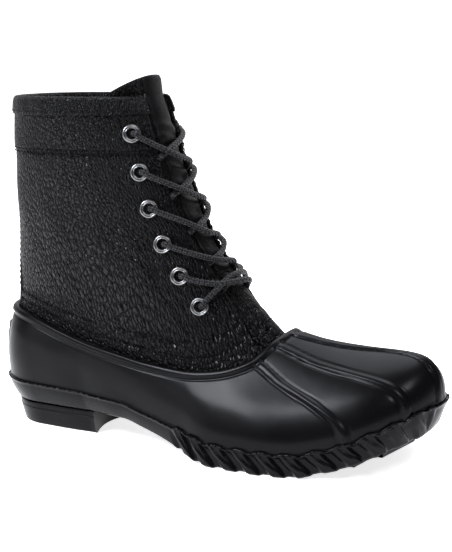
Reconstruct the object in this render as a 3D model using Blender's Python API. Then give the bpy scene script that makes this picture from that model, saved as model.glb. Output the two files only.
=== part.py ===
"""Duck boot for the right foot: a rubber shell on a lugged outsole, with a laced leather shaft.

Metres. +X runs from heel to toe, +Y to the medial side, +Z up, and the floor is z = 0.
Each surface is worked out from the outline of the sole, the rubber rim and the rings of the shaft.
"""

import math
from functools import lru_cache

import bpy
import numpy as np

# Driving sizes of the last and of the shaft
FOOT_LENGTH = 0.300
BALL_WIDTH = 0.107
HEEL_WIDTH = 0.072
HEEL_ROUND = 0.036
TOE_ROUND = 0.054
HEEL_HEIGHT = 0.015
HEEL_LENGTH = 0.079
SOLE_THICKNESS = 0.0128
TOE_SPRING = 0.025
RIM_HEIGHT = 0.079
TOE_FULLNESS = 0.031
SHAFT_HEIGHT = 0.2130
COLLAR_LENGTH = 0.099
COLLAR_WIDTH = 0.077
THROAT_SWELL = 0.0045
ANKLE_HEIGHT = 0.114
ANKLE_LENGTH = 0.148
ANKLE_WIDTH = 0.067
CALF_HEIGHT = 0.168
CALF_LENGTH = 0.120
CALF_WIDTH = 0.072

# Walls and clearances
SHELL_WALL = 0.0026
LEATHER_WALL = 0.0022
TONGUE_WALL = 0.0028
TRIM_WALL = 0.0012
INSOLE_THICKNESS = 0.004
SEAT_GAP = 0.0003
SHELL_INSET = 0.0015

# Relief of the rubber
RIM_BAND_HEIGHT = 0.0013
RIM_BAND_START = 0.86
RIDGE_HEIGHT = 0.0013
HEEL_PLATE_HEIGHT = 0.0024
LUG_COUNT = 12
LUG_START = 0.475
LUG_DEPTH = 0.0022
LUG_SLANT = 0.018
TREAD_DEPTH = 0.0028
TREAD_PITCH = 0.0145
TREAD_BAR = 0.0065
TREAD_CHEVRON = 0.007
PAD_LENGTH = 0.020

# Lacing
EYELET_COUNT = 6
EYELET_OUTER = 0.0115
EYELET_HOLE = 0.0062
EYELET_BARREL_WALL = 0.0006
EYELET_FLANGE = 0.0013
LACE_DIAMETER = 0.0033
LACE_LIFT = 0.0030

TONGUE_RISE = 0.024
TONGUE_TIP = 0.004
TONGUE_BULGE = 0.0012
BINDING_DEPTH = 0.009
BACKSTAY_WIDTH = 0.026
CUFF_PAD = 0.0009

LATERAL = -1
MEDIAL = 1

# Sole outline: along is a share of the length, centre of half the ball width,
# and lateral and medial are shares of the local half width.
OUTLINE_COLUMNS = ("along", "centre", "lateral", "medial")
OUTLINE = (
    (0.00, 0.000, 0.944, 0.972),
    (0.10, 0.000, 0.944, 1.000),
    (0.20, 0.000, 0.972, 0.972),
    (0.30, 0.000, 0.938, 0.848),
    (0.40, 0.010, 0.894, 0.726),
    (0.50, 0.019, 0.929, 0.711),
    (0.60, 0.037, 1.028, 0.804),
    (0.68, 0.056, 1.047, 0.925),
    (0.76, 0.075, 0.991, 0.981),
    (0.84, 0.103, 0.888, 0.953),
    (0.92, 0.131, 0.822, 0.897),
    (1.00, 0.150, 0.673, 0.785),
)

# Side view of the sole: lift is a share of the heel height, spring of the toe spring,
# thick of the sole thickness, and tuck is how far the wall draws in, as a share of it too.
SIDE_COLUMNS = ("along", "lift", "spring", "thick", "tuck")
SIDE = (
    (0.000, 1.00, 0.00, 1.25, 0.55),
    (0.180, 1.00, 0.00, 1.17, 0.55),
    (0.270, 1.00, 0.00, 1.05, 0.50),
    (0.345, 1.00, 0.00, 0.95, 0.40),
    (0.400, 0.80, 0.00, 0.89, 0.30),
    (0.465, 0.53, 0.00, 0.93, 0.20),
    (0.520, 0.22, 0.00, 1.03, 0.10),
    (0.555, 0.04, 0.00, 1.09, 0.08),
    (0.580, 0.00, 0.00, 1.03, 0.08),
    (0.700, 0.00, 0.00, 0.985, 0.08),
    (0.755, 0.00, 0.00, 1.00, 0.08),
    (0.800, 0.00, 0.12, 1.015, 0.10),
    (0.850, 0.00, 0.28, 1.04, 0.12),
    (0.900, 0.00, 0.52, 1.13, 0.20),
    (0.957, 0.00, 0.79, 1.20, 0.42),
    (1.000, 0.00, 1.00, 1.25, 0.62),
)

# One row for each meridian of the rubber shell, from the back of the heel to the toe.
# share: place round the ring, foot: share of the sole's edge below it.
# rim_along, rim_side and rim_rise: the rim, in lengths, half ball widths and rim heights.
# lift and drop: how upright the wall stands at the sole and at the rim, in toe fullness.
# flare: outward swell, reach: how far the wall runs level below the rim, as a share.
MERIDIAN_COLUMNS = (
    "share", "foot", "rim_along", "rim_side", "rim_rise",
    "lift", "drop", "flare", "reach", "medial_lift", "medial_drop",
)
MERIDIANS = (
    (0.000, 0.000, 0.027, 0.000, 1.000, 0.55, 0.48, 0.113, 0.40, 0.55, 0.48),
    (0.050, 0.058, 0.040, 0.290, 0.992, 0.53, 0.46, 0.105, 0.40, 0.53, 0.46),
    (0.100, 0.133, 0.097, 0.510, 0.960, 0.48, 0.42, 0.095, 0.40, 0.48, 0.42),
    (0.160, 0.214, 0.187, 0.605, 0.865, 0.40, 0.37, 0.085, 0.40, 0.40, 0.37),
    (0.210, 0.287, 0.265, 0.640, 0.785, 0.36, 0.35, 0.080, 0.40, 0.36, 0.35),
    (0.260, 0.362, 0.343, 0.672, 0.734, 0.34, 0.33, 0.080, 0.42, 0.34, 0.33),
    (0.300, 0.440, 0.417, 0.692, 0.690, 0.34, 0.33, 0.075, 0.45, 0.36, 0.33),
    (0.350, 0.536, 0.507, 0.700, 0.665, 0.40, 0.36, 0.065, 0.50, 0.44, 0.36),
    (0.390, 0.629, 0.568, 0.655, 0.684, 0.48, 0.48, 0.050, 0.55, 0.54, 0.50),
    (0.435, 0.809, 0.633, 0.510, 0.770, 0.60, 0.70, 0.040, 0.68, 0.98, 0.86),
    (0.465, 0.922, 0.662, 0.310, 0.895, 1.00, 0.62, 0.020, 0.66, 1.10, 0.88),
    (0.500, 1.000, 0.683, 0.000, 0.965, 1.38, 0.58, -0.030, 0.73, 1.38, 0.58),
)
RIM_CENTRE = 0.04

RIDGE_SHARES = (0.435, 0.465, 0.500)
RIDGE_BASE = 0.0062
RIDGE_TOP = 0.0032
HEEL_PLATE_SHARE = 0.066
HEEL_PLATE_ROWS = (0.36, 0.70)
STEP_SHARE = 0.004

# Front edge of each flap and the line of the eyelets, as shares round the ring by height
FLAP_COLUMNS = ("height", "edge", "eyelets")
FLAP = (
    (0.00, 0.450, 0.404),
    (0.15, 0.452, 0.399),
    (0.28, 0.446, 0.373),
    (0.40, 0.433, 0.363),
    (0.54, 0.429, 0.367),
    (0.75, 0.440, 0.383),
    (1.00, 0.450, 0.392),
)
EYELET_HEIGHTS = (0.191, 0.270, 0.376, 0.518, 0.675, 0.847)


def read(columns, rows, name):
    """One named column of a table."""
    place = columns.index(name)
    return np.array([row[place] for row in rows])


def follow(knots, values, at):
    """A smooth curve through the knots that never overshoots them."""
    step = np.diff(knots)
    rise = np.diff(values) / step
    both = rise[:-1] + rise[1:]
    same = rise[:-1] * rise[1:] > 0
    inner = np.where(same, 2 * rise[:-1] * rise[1:] / np.where(same, both, 1), 0)
    slope = np.concatenate([[rise[0]], inner, [rise[-1]]])
    at = np.clip(at, knots[0], knots[-1])
    cell = np.clip(np.searchsorted(knots, at) - 1, 0, len(step) - 1)
    part = (at - knots[cell]) / step[cell]
    rest = 1 - part
    return (
        rest**2 * (1 + 2 * part) * values[cell]
        + part**2 * (1 + 2 * rest) * values[cell + 1]
        + part * rest**2 * step[cell] * slope[cell]
        - part**2 * rest * step[cell] * slope[cell + 1]
    )


def outline_value(name, along):
    return follow(read(OUTLINE_COLUMNS, OUTLINE, "along"), read(OUTLINE_COLUMNS, OUTLINE, name), along)


def side_value(name, along):
    return follow(read(SIDE_COLUMNS, SIDE, "along"), read(SIDE_COLUMNS, SIDE, name), along)


def sole_bottom(x):
    along = np.asarray(x) / FOOT_LENGTH
    return HEEL_HEIGHT * side_value("lift", along) + TOE_SPRING * side_value("spring", along)


def sole_top(x):
    return sole_bottom(x) + SOLE_THICKNESS * side_value("thick", np.asarray(x) / FOOT_LENGTH)


def dense_edge(side):
    """One side of the sole's edge from heel to toe: points, outward directions and shares of its length."""
    turn = np.linspace(0, math.pi, 361)
    along = (1 - np.cos(turn)) / 2
    blend = np.clip((along - 0.25) / 0.30, 0, 1)
    local = (HEEL_WIDTH * (1 - blend) + BALL_WIDTH * blend) / 2
    x = along * FOOT_LENGTH
    heel_cap = np.sqrt(np.clip(1 - (np.clip(HEEL_ROUND - x, 0, None) / HEEL_ROUND) ** 2, 0, 1))
    toe_cap = np.sqrt(np.clip(1 - (np.clip(x - FOOT_LENGTH + TOE_ROUND, 0, None) / TOE_ROUND) ** 2, 0, 1))
    name = "lateral" if side == LATERAL else "medial"
    half = local * outline_value(name, along) * heel_cap * toe_cap
    y = BALL_WIDTH / 2 * outline_value("centre", along) + side * half
    run = np.concatenate([[0], np.cumsum(np.hypot(np.diff(x), np.diff(y)))])
    dx = np.gradient(x, run)
    dy = np.gradient(y, run)
    dx[0] = dx[-1] = 0.0
    dy[0] = side
    dy[-1] = -side
    size = np.hypot(dx, dy)
    return x, y, -side * dy / size, side * dx / size, run / run[-1]


EDGES = {side: dense_edge(side) for side in (LATERAL, MEDIAL)}


def edge(side, share, inset=0.0):
    """A point of the sole's edge in plan, drawn in by inset, and the outward direction there."""
    x, y, out_x, out_y, shares = EDGES[side]
    out = np.array([np.interp(share, shares, out_x), np.interp(share, shares, out_y)])
    out /= np.hypot(*out)
    place = np.array([np.interp(share, shares, x), np.interp(share, shares, y)])
    return place - inset * out, out


def split(ring):
    """The side of the boot and the share of its half ring, for a place 0 to 1 round the ring."""
    ring = ring % 1.0
    return (LATERAL, ring) if ring <= 0.5 else (MEDIAL, 1.0 - ring)


def meridian_value(name, share, odd=False):
    knots = read(MERIDIAN_COLUMNS, MERIDIANS, "share")
    values = read(MERIDIAN_COLUMNS, MERIDIANS, name)
    sign = -1 if odd else 1
    knots = np.concatenate([[-knots[1]], knots, [1 - knots[-2]]])
    values = np.concatenate([[sign * values[1]], values, [sign * values[-2]]])
    return float(follow(knots, values, share))


def rim_point(ring):
    side, share = split(ring)
    across = side * meridian_value("rim_side", share, odd=True) + RIM_CENTRE * share * 2
    return np.array([
        FOOT_LENGTH * meridian_value("rim_along", share),
        BALL_WIDTH / 2 * across,
        RIM_HEIGHT * meridian_value("rim_rise", share),
    ])


@lru_cache(maxsize=None)
def shell_handles(ring):
    """The four control points of a meridian of the shell, from the sole to the rim."""
    side, share = split(ring)
    foot, out = edge(side, meridian_value("foot", share), SHELL_INSET)
    low = np.array([foot[0], foot[1], float(sole_top(foot[0])) + SEAT_GAP])
    rim = rim_point(ring)
    outward = np.array([out[0], out[1], 0.0]) * TOE_FULLNESS * meridian_value("flare", share)
    medial = side == MEDIAL
    lift = meridian_value("medial_lift" if medial else "lift", share)
    drop = meridian_value("medial_drop" if medial else "drop", share)
    up = np.array([0.0, 0.0, TOE_FULLNESS])
    level = (low - rim) * np.array([1.0, 1.0, 0.0]) * meridian_value("reach", share)
    first = low + up * lift + outward
    second = rim - up * drop + level + outward
    return low, first, second, rim


def shell_point(ring, height):
    """The plain outer surface of the rubber shell, height 0 at the sole and 1 at the rim."""
    low, first, second, rim = shell_handles(ring)
    rest = 1 - height
    return rest**3 * low + 3 * rest**2 * height * first + 3 * rest * height**2 * second + height**3 * rim


def surface_normal(surface, ring, height, step=0.004):
    """The outward direction of a surface of the upper."""
    low = max(height - step, 0.0) if surface is shell_point else height - step
    high = min(height + step, 1.0) if surface is shell_point else height + step
    across = surface(ring + step, height) - surface(ring - step, height)
    upward = surface(ring, high) - surface(ring, low)
    normal = np.cross(across, upward)
    return normal / np.linalg.norm(normal)


def oval(ring, back, length, width, height):
    """A point on a level ring of the shaft."""
    turn = 2 * math.pi * ring
    lean = abs(math.cos(turn)) ** 0.9 * math.copysign(1, math.cos(turn))
    wide = abs(math.sin(turn)) ** 0.85 * math.copysign(1, math.sin(turn))
    return np.array([back + length / 2 * (1 - lean), -width / 2 * wide, height])


SHAFT_BACK = 0.041
TUCKED = 0.08
SHAFT_KNOTS = np.array([-0.06, 0.0, 0.30, 0.66, 1.0])


@lru_cache(maxsize=None)
def shaft_meridian(ring):
    """Points and slopes of a meridian of the leather, at the heights of SHAFT_KNOTS."""
    inward = SHELL_WALL + SEAT_GAP * 2
    rings = np.array([
        shell_point(ring, 0.92) - inward * surface_normal(shell_point, ring, 0.92),
        rim_point(ring) - inward * surface_normal(shell_point, ring, 0.99),
        oval(ring, FOOT_LENGTH * SHAFT_BACK, ANKLE_LENGTH, ANKLE_WIDTH, ANKLE_HEIGHT),
        oval(ring, FOOT_LENGTH * (SHAFT_BACK + 0.003), CALF_LENGTH, CALF_WIDTH, CALF_HEIGHT),
        oval(ring, FOOT_LENGTH * (SHAFT_BACK + 0.016), COLLAR_LENGTH, COLLAR_WIDTH, SHAFT_HEIGHT),
    ])
    step = np.diff(SHAFT_KNOTS)[:, None]
    rise = np.diff(rings, axis=0) / step
    inner = (rise[:-1] * step[1:] + rise[1:] * step[:-1]) / (step[:-1] + step[1:])
    return rings, np.vstack([rise[:1], inner, rise[-1:]])


def throat_swell(ring, height):
    """How far the leather at the foot of the throat lies forward and up over the instep."""
    near = max(1 - ((ring % 1.0 - 0.5) / 0.15) ** 2, 0.0) ** 2
    part = min(height / 0.36, 1.0)
    return THROAT_SWELL * near * 6.75 * part * (1 - part) ** 2 * np.array([0.64, 0.0, 0.77])


def shaft_point(ring, height):
    """The outer surface of the leather: below 0 it runs down inside the shell, 1 is the collar."""
    if height <= 0:
        inside = 1 + max(height, -TUCKED) / TUCKED * 0.16
        inward = SHELL_WALL + SEAT_GAP * 2
        return shell_point(ring, inside) - inward * surface_normal(shell_point, ring, inside)
    rings, slope = shaft_meridian(ring)
    if height >= 1:
        return rings[-1] + slope[-1] * (height - 1)
    step = np.diff(SHAFT_KNOTS)
    cell = min(int(np.searchsorted(SHAFT_KNOTS, height)) - 1, len(step) - 1)
    part = (height - SHAFT_KNOTS[cell]) / step[cell]
    rest = 1 - part
    return (
        rest**2 * (1 + 2 * part) * rings[cell]
        + part**2 * (1 + 2 * rest) * rings[cell + 1]
        + part * rest**2 * step[cell] * slope[cell]
        - part**2 * rest * step[cell] * slope[cell + 1]
        + throat_swell(ring, height)
    )


def offset(surface, ring, height, out):
    return surface(ring, height) + out * surface_normal(surface, ring, height)


def flap_value(name, height):
    return float(follow(read(FLAP_COLUMNS, FLAP, "height"), read(FLAP_COLUMNS, FLAP, name), height))


def new_object(name, vertices, faces, look):
    """A mesh object from points and faces, with its normals facing out and its colour, roughness and metal."""
    mesh = bpy.data.meshes.new(name)
    mesh.from_pydata([tuple(map(float, point)) for point in vertices], [], faces)
    mesh.validate()
    mesh.shade_smooth()
    mesh.set_sharp_from_angle(angle=math.radians(40))
    obj = bpy.data.objects.new(name, mesh)
    bpy.context.scene.collection.objects.link(obj)
    material = bpy.data.materials.new(name)
    material.use_nodes = True
    shader = material.node_tree.nodes["Principled BSDF"]
    colour, roughness, metal = look
    shader.inputs["Base Color"].default_value = (*colour, 1.0)
    shader.inputs["Roughness"].default_value = roughness
    shader.inputs["Metallic"].default_value = metal
    mesh.materials.append(material)
    return obj


RUBBER = ((0.012, 0.012, 0.013), 0.32, 0.0)
LEATHER = ((0.010, 0.010, 0.011), 0.45, 0.0)
LINING = ((0.020, 0.019, 0.018), 0.85, 0.0)
CORD = ((0.015, 0.015, 0.016), 0.70, 0.0)
NICKEL = ((0.55, 0.55, 0.56), 0.25, 1.0)


def rings_solid(name, rings, look, top_strip, bottom_strip):
    """A closed solid from stacked rings with as many points on each side of the foot."""
    count = len(rings[0])
    vertices = [point for ring in rings for point in ring]
    faces = []
    for level in range(len(rings) - 1):
        for here in range(count):
            after = (here + 1) % count
            low, high = level * count, (level + 1) * count
            faces.append((low + here, high + here, high + after, low + after))
    half = count // 2
    for base, wanted, turned in ((0, top_strip, False), ((len(rings) - 1) * count, bottom_strip, True)):
        if not wanted:
            continue
        for here in range(half):
            other = (count - here) % count
            pair = (count - here - 1) % count
            face = [base + here, base + here + 1, base + pair, base + other]
            face = list(dict.fromkeys(face))
            if len(face) > 2:
                faces.append(tuple(face[::-1]) if turned else tuple(face))
    return new_object(name, vertices, faces, look)


def sheet_solid(name, outer, inner, kept, look, closed):
    """A wall between two grids of points; kept says which cells are there."""
    rows, columns = len(outer), len(outer[0])
    vertices = [p for row in outer for p in row] + [p for row in inner for p in row]
    back = rows * columns
    faces = []
    spans = columns if closed else columns - 1

    def there(row, column):
        if closed:
            column %= columns
        return 0 <= row < rows - 1 and 0 <= column < spans and kept(row, column)

    for row in range(rows - 1):
        for column in range(spans):
            if not there(row, column):
                continue
            after = (column + 1) % columns
            a, b = row * columns + column, row * columns + after
            c, d = (row + 1) * columns + after, (row + 1) * columns + column
            faces.append((a, b, c, d))
            faces.append((back + d, back + c, back + b, back + a))
            if not there(row - 1, column):
                faces.append((b, a, back + a, back + b))
            if not there(row + 1, column):
                faces.append((d, c, back + c, back + d))
            if not there(row, column - 1):
                faces.append((a, d, back + d, back + a))
            if not there(row, column + 1):
                faces.append((c, b, back + b, back + c))
    used = sorted({index for face in faces for index in face})
    renumber = {old: new for new, old in enumerate(used)}
    faces = [tuple(renumber[index] for index in face) for face in faces]
    return new_object(name, [vertices[index] for index in used], faces, look)


def boolean(target, other, operation):
    """Joins or cuts with a helper that isn't rendered."""
    other.hide_render = True
    other.display_type = "WIRE"
    modifier = target.modifiers.new(operation.lower(), "BOOLEAN")
    modifier.operation = operation
    modifier.object = other
    modifier.solver = "EXACT"


def side_columns():
    """Places round the sole's edge, heel to toe: plain ones, then four for each lug and the gap behind it."""
    plain = [(share, 0.0) for share in np.linspace(0, LUG_START, 14)[:-1]]
    pitch = (1 - LUG_START) / LUG_COUNT
    lugs = []
    for lug in range(LUG_COUNT):
        start = LUG_START + lug * pitch
        lugs += [(start, 0.0), (start + 0.56 * pitch, 0.0), (start + 0.66 * pitch, 1.0), (start + 0.9 * pitch, 1.0)]
    return plain + lugs


def outsole_ring(level, inset_extra, rise, grooved=True):
    """One ring of the outsole wall: level 1 is its top edge and 0 its foot."""
    points = []
    columns = side_columns() + [(1.0, 0.0)]
    ring = [(LATERAL, column) for column in columns]
    ring += [(MEDIAL, column) for column in reversed(columns[1:-1])]
    depth = 1 - level
    cut = min(depth / 0.3, 1.0) if grooved else 0.0
    for side, (share, groove) in ring:
        fade = np.clip((share - LUG_START) / 0.02, 0, 1) * np.clip((1 - share) / 0.02, 0, 1)
        place = share + LUG_SLANT * depth * fade
        middle, _ = edge(side, place)
        tuck = SOLE_THICKNESS * float(side_value("tuck", middle[0] / FOOT_LENGTH))
        inset = tuck * depth**1.4 + groove * LUG_DEPTH * cut + inset_extra
        spot, _ = edge(side, place, inset)
        low = float(sole_bottom(spot[0]))
        high = float(sole_top(spot[0]))
        points.append((spot[0], spot[1], low + (high - low) * level + rise(spot[0])))
    return points


def tread_here(x):
    """1 under the forefoot, fading to 0 at the arch and the toe."""
    along = x / FOOT_LENGTH
    return float(np.clip((along - 0.53) / 0.04, 0, 1) * np.clip((0.95 - along) / 0.04, 0, 1))


def make_outsole():
    rim_gap = SEAT_GAP

    def flat(_x):
        return 0.0

    def land(x):
        return rim_gap * tread_here(x)

    def recess(x):
        return TREAD_DEPTH * tread_here(x)

    rings = [
        outsole_ring(1.0, 0.0005, flat),
        outsole_ring(0.90, 0.0, flat),
        outsole_ring(0.55, 0.0, flat),
        outsole_ring(0.12, 0.0, flat),
        outsole_ring(0.0, 0.0008, land),
        outsole_ring(0.0, 0.0065, land, grooved=False),
        outsole_ring(0.0, 0.0072, recess, grooved=False),
    ]
    outsole = rings_solid("outsole", rings, RUBBER, True, True)
    bars = make_tread()
    boolean(outsole, bars, "UNION")
    return outsole


def crossing_y(side, x, inset):
    """Where a line across the foot at x meets the sole's edge, drawn in by inset."""
    xs, ys, _, out_y, _ = EDGES[side]
    return float(np.interp(x, xs, ys - inset * out_y))


def make_tread():
    """The chevron bars under the forefoot, as one helper mesh."""
    vertices = []
    faces = []
    first = 0.565 * FOOT_LENGTH
    last = 0.905 * FOOT_LENGTH
    count = int((last - first) / TREAD_PITCH)
    pad = int(round((0.66 * FOOT_LENGTH - first) / TREAD_PITCH))
    for bar in range(count + 1):
        middle = first + bar * TREAD_PITCH
        if abs(bar - pad) == 1:
            continue
        length = PAD_LENGTH if bar == pad else TREAD_BAR
        bend = 0.0 if bar == pad else TREAD_CHEVRON
        inset = SOLE_THICKNESS * 0.1 + 0.0055
        left = crossing_y(LATERAL, middle, inset)
        right = crossing_y(MEDIAL, middle, inset)
        spots = [(middle, left), (middle + bend, (left + right) / 2), (middle, right)]
        base = len(vertices)
        for x, y in spots:
            for along in (x - length / 2, x + length / 2):
                low = float(sole_bottom(x))
                vertices.append((along, y, low))
                vertices.append((along, y, low + TREAD_DEPTH + 0.001))
        for part in range(2):
            a = base + part * 4
            b = a + 4
            faces += [(a, b, b + 2, a + 2), (a + 1, a + 3, b + 3, b + 1)]
            faces += [(a, a + 1, b + 1, b), (a + 2, b + 2, b + 3, a + 3)]
        end = base + 8
        faces += [(base, base + 2, base + 3, base + 1), (end, end + 1, end + 3, end + 2)]
    return new_object("tread_bars", vertices, faces, RUBBER)


def make_heel():
    """The heel lift: a D drawn in towards the floor, with a hollowed breast."""
    levels = (
        (1.0, 0.0004),
        (0.75, 0.0004),
        (0.08, 0.0028),
        (0.0, 0.0036),
    )
    shares = [share for share in np.linspace(0, 0.5, 29) if edge(LATERAL, share)[0][0] < HEEL_LENGTH - 0.004]
    rings = []
    for level, draw in levels:
        ring = []
        inset = SOLE_THICKNESS * float(side_value("tuck", 0.0)) + draw
        for side, order in ((LATERAL, shares), (MEDIAL, shares[::-1])):
            points = [edge(side, share, inset)[0] for share in order]
            corner = np.array([HEEL_LENGTH, crossing_y(side, HEEL_LENGTH, inset)])
            points = points + [corner] if side == LATERAL else [corner] + points[:-1]
            ring += points
            if side == LATERAL:
                far = np.array([HEEL_LENGTH, crossing_y(MEDIAL, HEEL_LENGTH, inset)])
                for part in (0.2, 0.4, 0.6, 0.8):
                    hollow = 0.006 * math.sin(math.pi * part)
                    ring.append(corner * (1 - part) + far * part - np.array([hollow, 0.0]))
        height = (HEEL_HEIGHT - SEAT_GAP) * level
        rings.append([(x, y, height) for x, y in ring])
    count = len(rings[0])
    vertices = [point for ring in rings for point in ring]
    faces = [tuple(range(count)), tuple(range(3 * count, 4 * count))[::-1]]
    for level in range(3):
        for here in range(count):
            after = (here + 1) % count
            low, high = level * count, (level + 1) * count
            faces.append((low + here, high + here, high + after, low + after))
    return new_object("heel", vertices, faces, RUBBER)


def make_insole():
    """The footbed inside the shell, with a raised edge."""
    clear = SHELL_INSET + SHELL_WALL + 0.0009
    shares = np.linspace(0, 1, 23)

    def ring(inset, height):
        points = []
        for side, order in ((LATERAL, shares), (MEDIAL, shares[-2:0:-1])):
            for share in order:
                spot, _ = edge(side, share, clear + inset)
                points.append((spot[0], spot[1], float(sole_top(spot[0])) + height))
        return points

    rings = [
        ring(0.010, INSOLE_THICKNESS),
        ring(0.002, INSOLE_THICKNESS * 1.6),
        ring(0.0006, INSOLE_THICKNESS * 1.6),
        ring(0.0, INSOLE_THICKNESS * 0.5),
        ring(0.0006, SEAT_GAP),
    ]
    return rings_solid("insole", rings, LINING, True, True)


def ring_places():
    """Columns of the shell round the ring, with extra ones at the ridges and the heel plate."""
    half = [0.0, 0.02, 0.042, 0.083]
    half += [HEEL_PLATE_SHARE - STEP_SHARE, HEEL_PLATE_SHARE]
    half += [0.105, 0.14, 0.18, 0.22, 0.26, 0.30, 0.34, 0.37, 0.395, 0.415]
    for middle in RIDGE_SHARES[:-1]:
        half += [middle - RIDGE_BASE, middle - RIDGE_TOP, middle + RIDGE_TOP, middle + RIDGE_BASE]
    half += [0.450, 0.482, 0.5 - RIDGE_BASE, 0.5 - RIDGE_TOP]
    half = sorted(half)
    return half + [0.5] + [1 - share for share in reversed(half[1:])]


def shell_relief(ring, height):
    """How far the rim band, the ridges and the heel plate stand out of the plain surface."""
    _, share = split(ring)
    relief = 0.0
    if height >= RIM_BAND_START:
        relief = RIM_BAND_HEIGHT
    for middle in RIDGE_SHARES:
        if abs(share - middle) <= RIDGE_TOP + 1e-6 and 0.03 < height < RIM_BAND_START:
            relief = RIDGE_HEIGHT
    if share <= HEEL_PLATE_SHARE - STEP_SHARE + 1e-6 and HEEL_PLATE_ROWS[0] <= height <= HEEL_PLATE_ROWS[1]:
        relief = HEEL_PLATE_HEIGHT
    return relief


def make_shell():
    low, high = HEEL_PLATE_ROWS
    heights = (0.0, 0.06, 0.19, low - 0.03, low, 0.53, high, high + 0.03,
               RIM_BAND_START - 0.03, RIM_BAND_START, 1.0)
    places = ring_places()
    outer = []
    inner = []
    for height in heights:
        outer_row = []
        inner_row = []
        for ring in places:
            point = shell_point(ring, height)
            normal = surface_normal(shell_point, ring, height)
            outside = point + normal * shell_relief(ring, height)
            inside = point - normal * SHELL_WALL
            if height == 0.0:
                outside[2] = point[2]
                inside[2] = float(sole_top(inside[0])) + SEAT_GAP
            outer_row.append(outside)
            inner_row.append(inside)
        outer.append(outer_row)
        inner.append(inner_row)
    return sheet_solid("rubber_shell", outer, inner, lambda row, column: True, RUBBER, closed=True)


SHAFT_ROWS = (-TUCKED, -0.04, 0.0, 0.06, 0.15, 0.26, 0.38, 0.52, 0.66, 0.74, 0.79, 0.90, 0.97, 1.0)
GAP_COLUMNS = 4
WALL_COLUMNS = 28


def shaft_ring(height, column):
    """Place round the ring for a column: the wall runs from the lateral flap round the back to the medial one."""
    edge_share = flap_value("edge", max(height, 0.0))
    if column <= WALL_COLUMNS:
        part = column / WALL_COLUMNS
        eased = part + 0.35 * math.sin(4 * math.pi * part) / (4 * math.pi)
        return edge_share * (1 - 2 * eased)
    part = (column - WALL_COLUMNS) / GAP_COLUMNS
    return -edge_share - (1 - 2 * edge_share) * part


def leather_relief(height):
    """The padded cuff under the collar stands a little proud."""
    return CUFF_PAD * float(np.clip((height - 0.74) / 0.05, 0, 1) * np.clip((1.0 - height) / 0.067, 0, 1))


def make_shaft():
    columns = WALL_COLUMNS + GAP_COLUMNS
    outer = []
    inner = []
    for height in SHAFT_ROWS:
        places = [shaft_ring(height, column) for column in range(columns)]
        places = [-ring for ring in places]
        outer.append([offset(shaft_point, ring, height, leather_relief(height)) for ring in places])
        inner.append([offset(shaft_point, ring, height, -LEATHER_WALL) for ring in places])

    def kept(row, column):
        return column < WALL_COLUMNS or SHAFT_ROWS[row] < 0

    shaft = sheet_solid("shaft", outer, inner, kept, LEATHER, closed=True)
    boolean(shaft, make_lace_holes(), "DIFFERENCE")
    return shaft


def frame_at(side, height, share, out):
    """Point, outward, level and upward directions of the leather at a place on a flap."""
    ring = share if side == LATERAL else 1 - share
    point = offset(shaft_point, ring, height, out + leather_relief(height))
    normal = surface_normal(shaft_point, ring, height, 0.012)
    level = np.cross(np.array([0.0, 0.0, 1.0]), normal)
    level /= np.linalg.norm(level)
    return point, normal, level, np.cross(normal, level)


def eyelet_place(side, number, out=0.0):
    height = EYELET_HEIGHTS[number]
    return frame_at(side, height, flap_value("eyelets", height), out)


def turned(profile, middle, normal, level, upward, sides):
    """Points and faces of a ring turned about the normal, from a closed profile of (radius, height)."""
    vertices = []
    for step in range(sides):
        turn = 2 * math.pi * step / sides
        spoke = math.cos(turn) * level + math.sin(turn) * upward
        vertices += [middle + spoke * radius + normal * height for radius, height in profile]
    size = len(profile)
    faces = []
    for step in range(sides):
        here, after = step * size, (step + 1) % sides * size
        for point in range(size):
            following = (point + 1) % size
            faces.append((here + point, after + point, after + following, here + following))
    return vertices, faces


def make_lace_holes():
    """Cutters for the holes that the eyelet barrels pass through."""
    radius = EYELET_HOLE / 2 + EYELET_BARREL_WALL + SEAT_GAP
    vertices = []
    faces = []
    sides = 8
    for side in (LATERAL, MEDIAL):
        for number in range(EYELET_COUNT):
            middle, normal, level, upward = eyelet_place(side, number)
            base = len(vertices)
            for height in (-0.006, 0.004):
                for step in range(sides):
                    turn = 2 * math.pi * step / sides
                    spoke = math.cos(turn) * level + math.sin(turn) * upward
                    vertices.append(middle + spoke * radius + normal * height)
            faces.append(tuple(base + step for step in range(sides))[::-1])
            faces.append(tuple(base + sides + step for step in range(sides)))
            for step in range(sides):
                after = (step + 1) % sides
                faces.append((base + step, base + after, base + sides + after, base + sides + step))
    return new_object("lace_holes", vertices, faces, NICKEL)


def make_eyelet(side, number):
    """A rolled flange outside the leather and a barrel through it."""
    middle, normal, level, upward = eyelet_place(side, number)
    hole = EYELET_HOLE / 2
    barrel = hole + EYELET_BARREL_WALL
    rim = EYELET_OUTER / 2
    seat = SEAT_GAP * 2
    profile = (
        (hole, -LEATHER_WALL - SEAT_GAP),
        (barrel, -LEATHER_WALL - SEAT_GAP),
        (barrel, seat),
        (rim, seat),
        ((rim + hole) / 2, seat + EYELET_FLANGE),
        (hole, seat + EYELET_FLANGE * 0.7),
    )
    vertices, faces = turned(profile, middle, normal, level, upward, 10)
    name = ("eyelet_lateral_" if side == LATERAL else "eyelet_medial_") + str(number + 1)
    return new_object(name, vertices, faces, NICKEL)


TONGUE_HALF = 0.20
TONGUE_COLUMNS = 12
TONGUE_ROWS = (-0.03, 0.0, 0.06, 0.15, 0.26, 0.38, 0.52, 0.66, 0.79, 0.90)


def tongue_top(place):
    """Height of the tongue's top edge: a rounded peak over the throat."""
    return 1 + TONGUE_RISE / (SHAFT_HEIGHT - RIM_HEIGHT) * math.cos(place * math.pi / 2) ** 1.3 - 0.03


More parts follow.
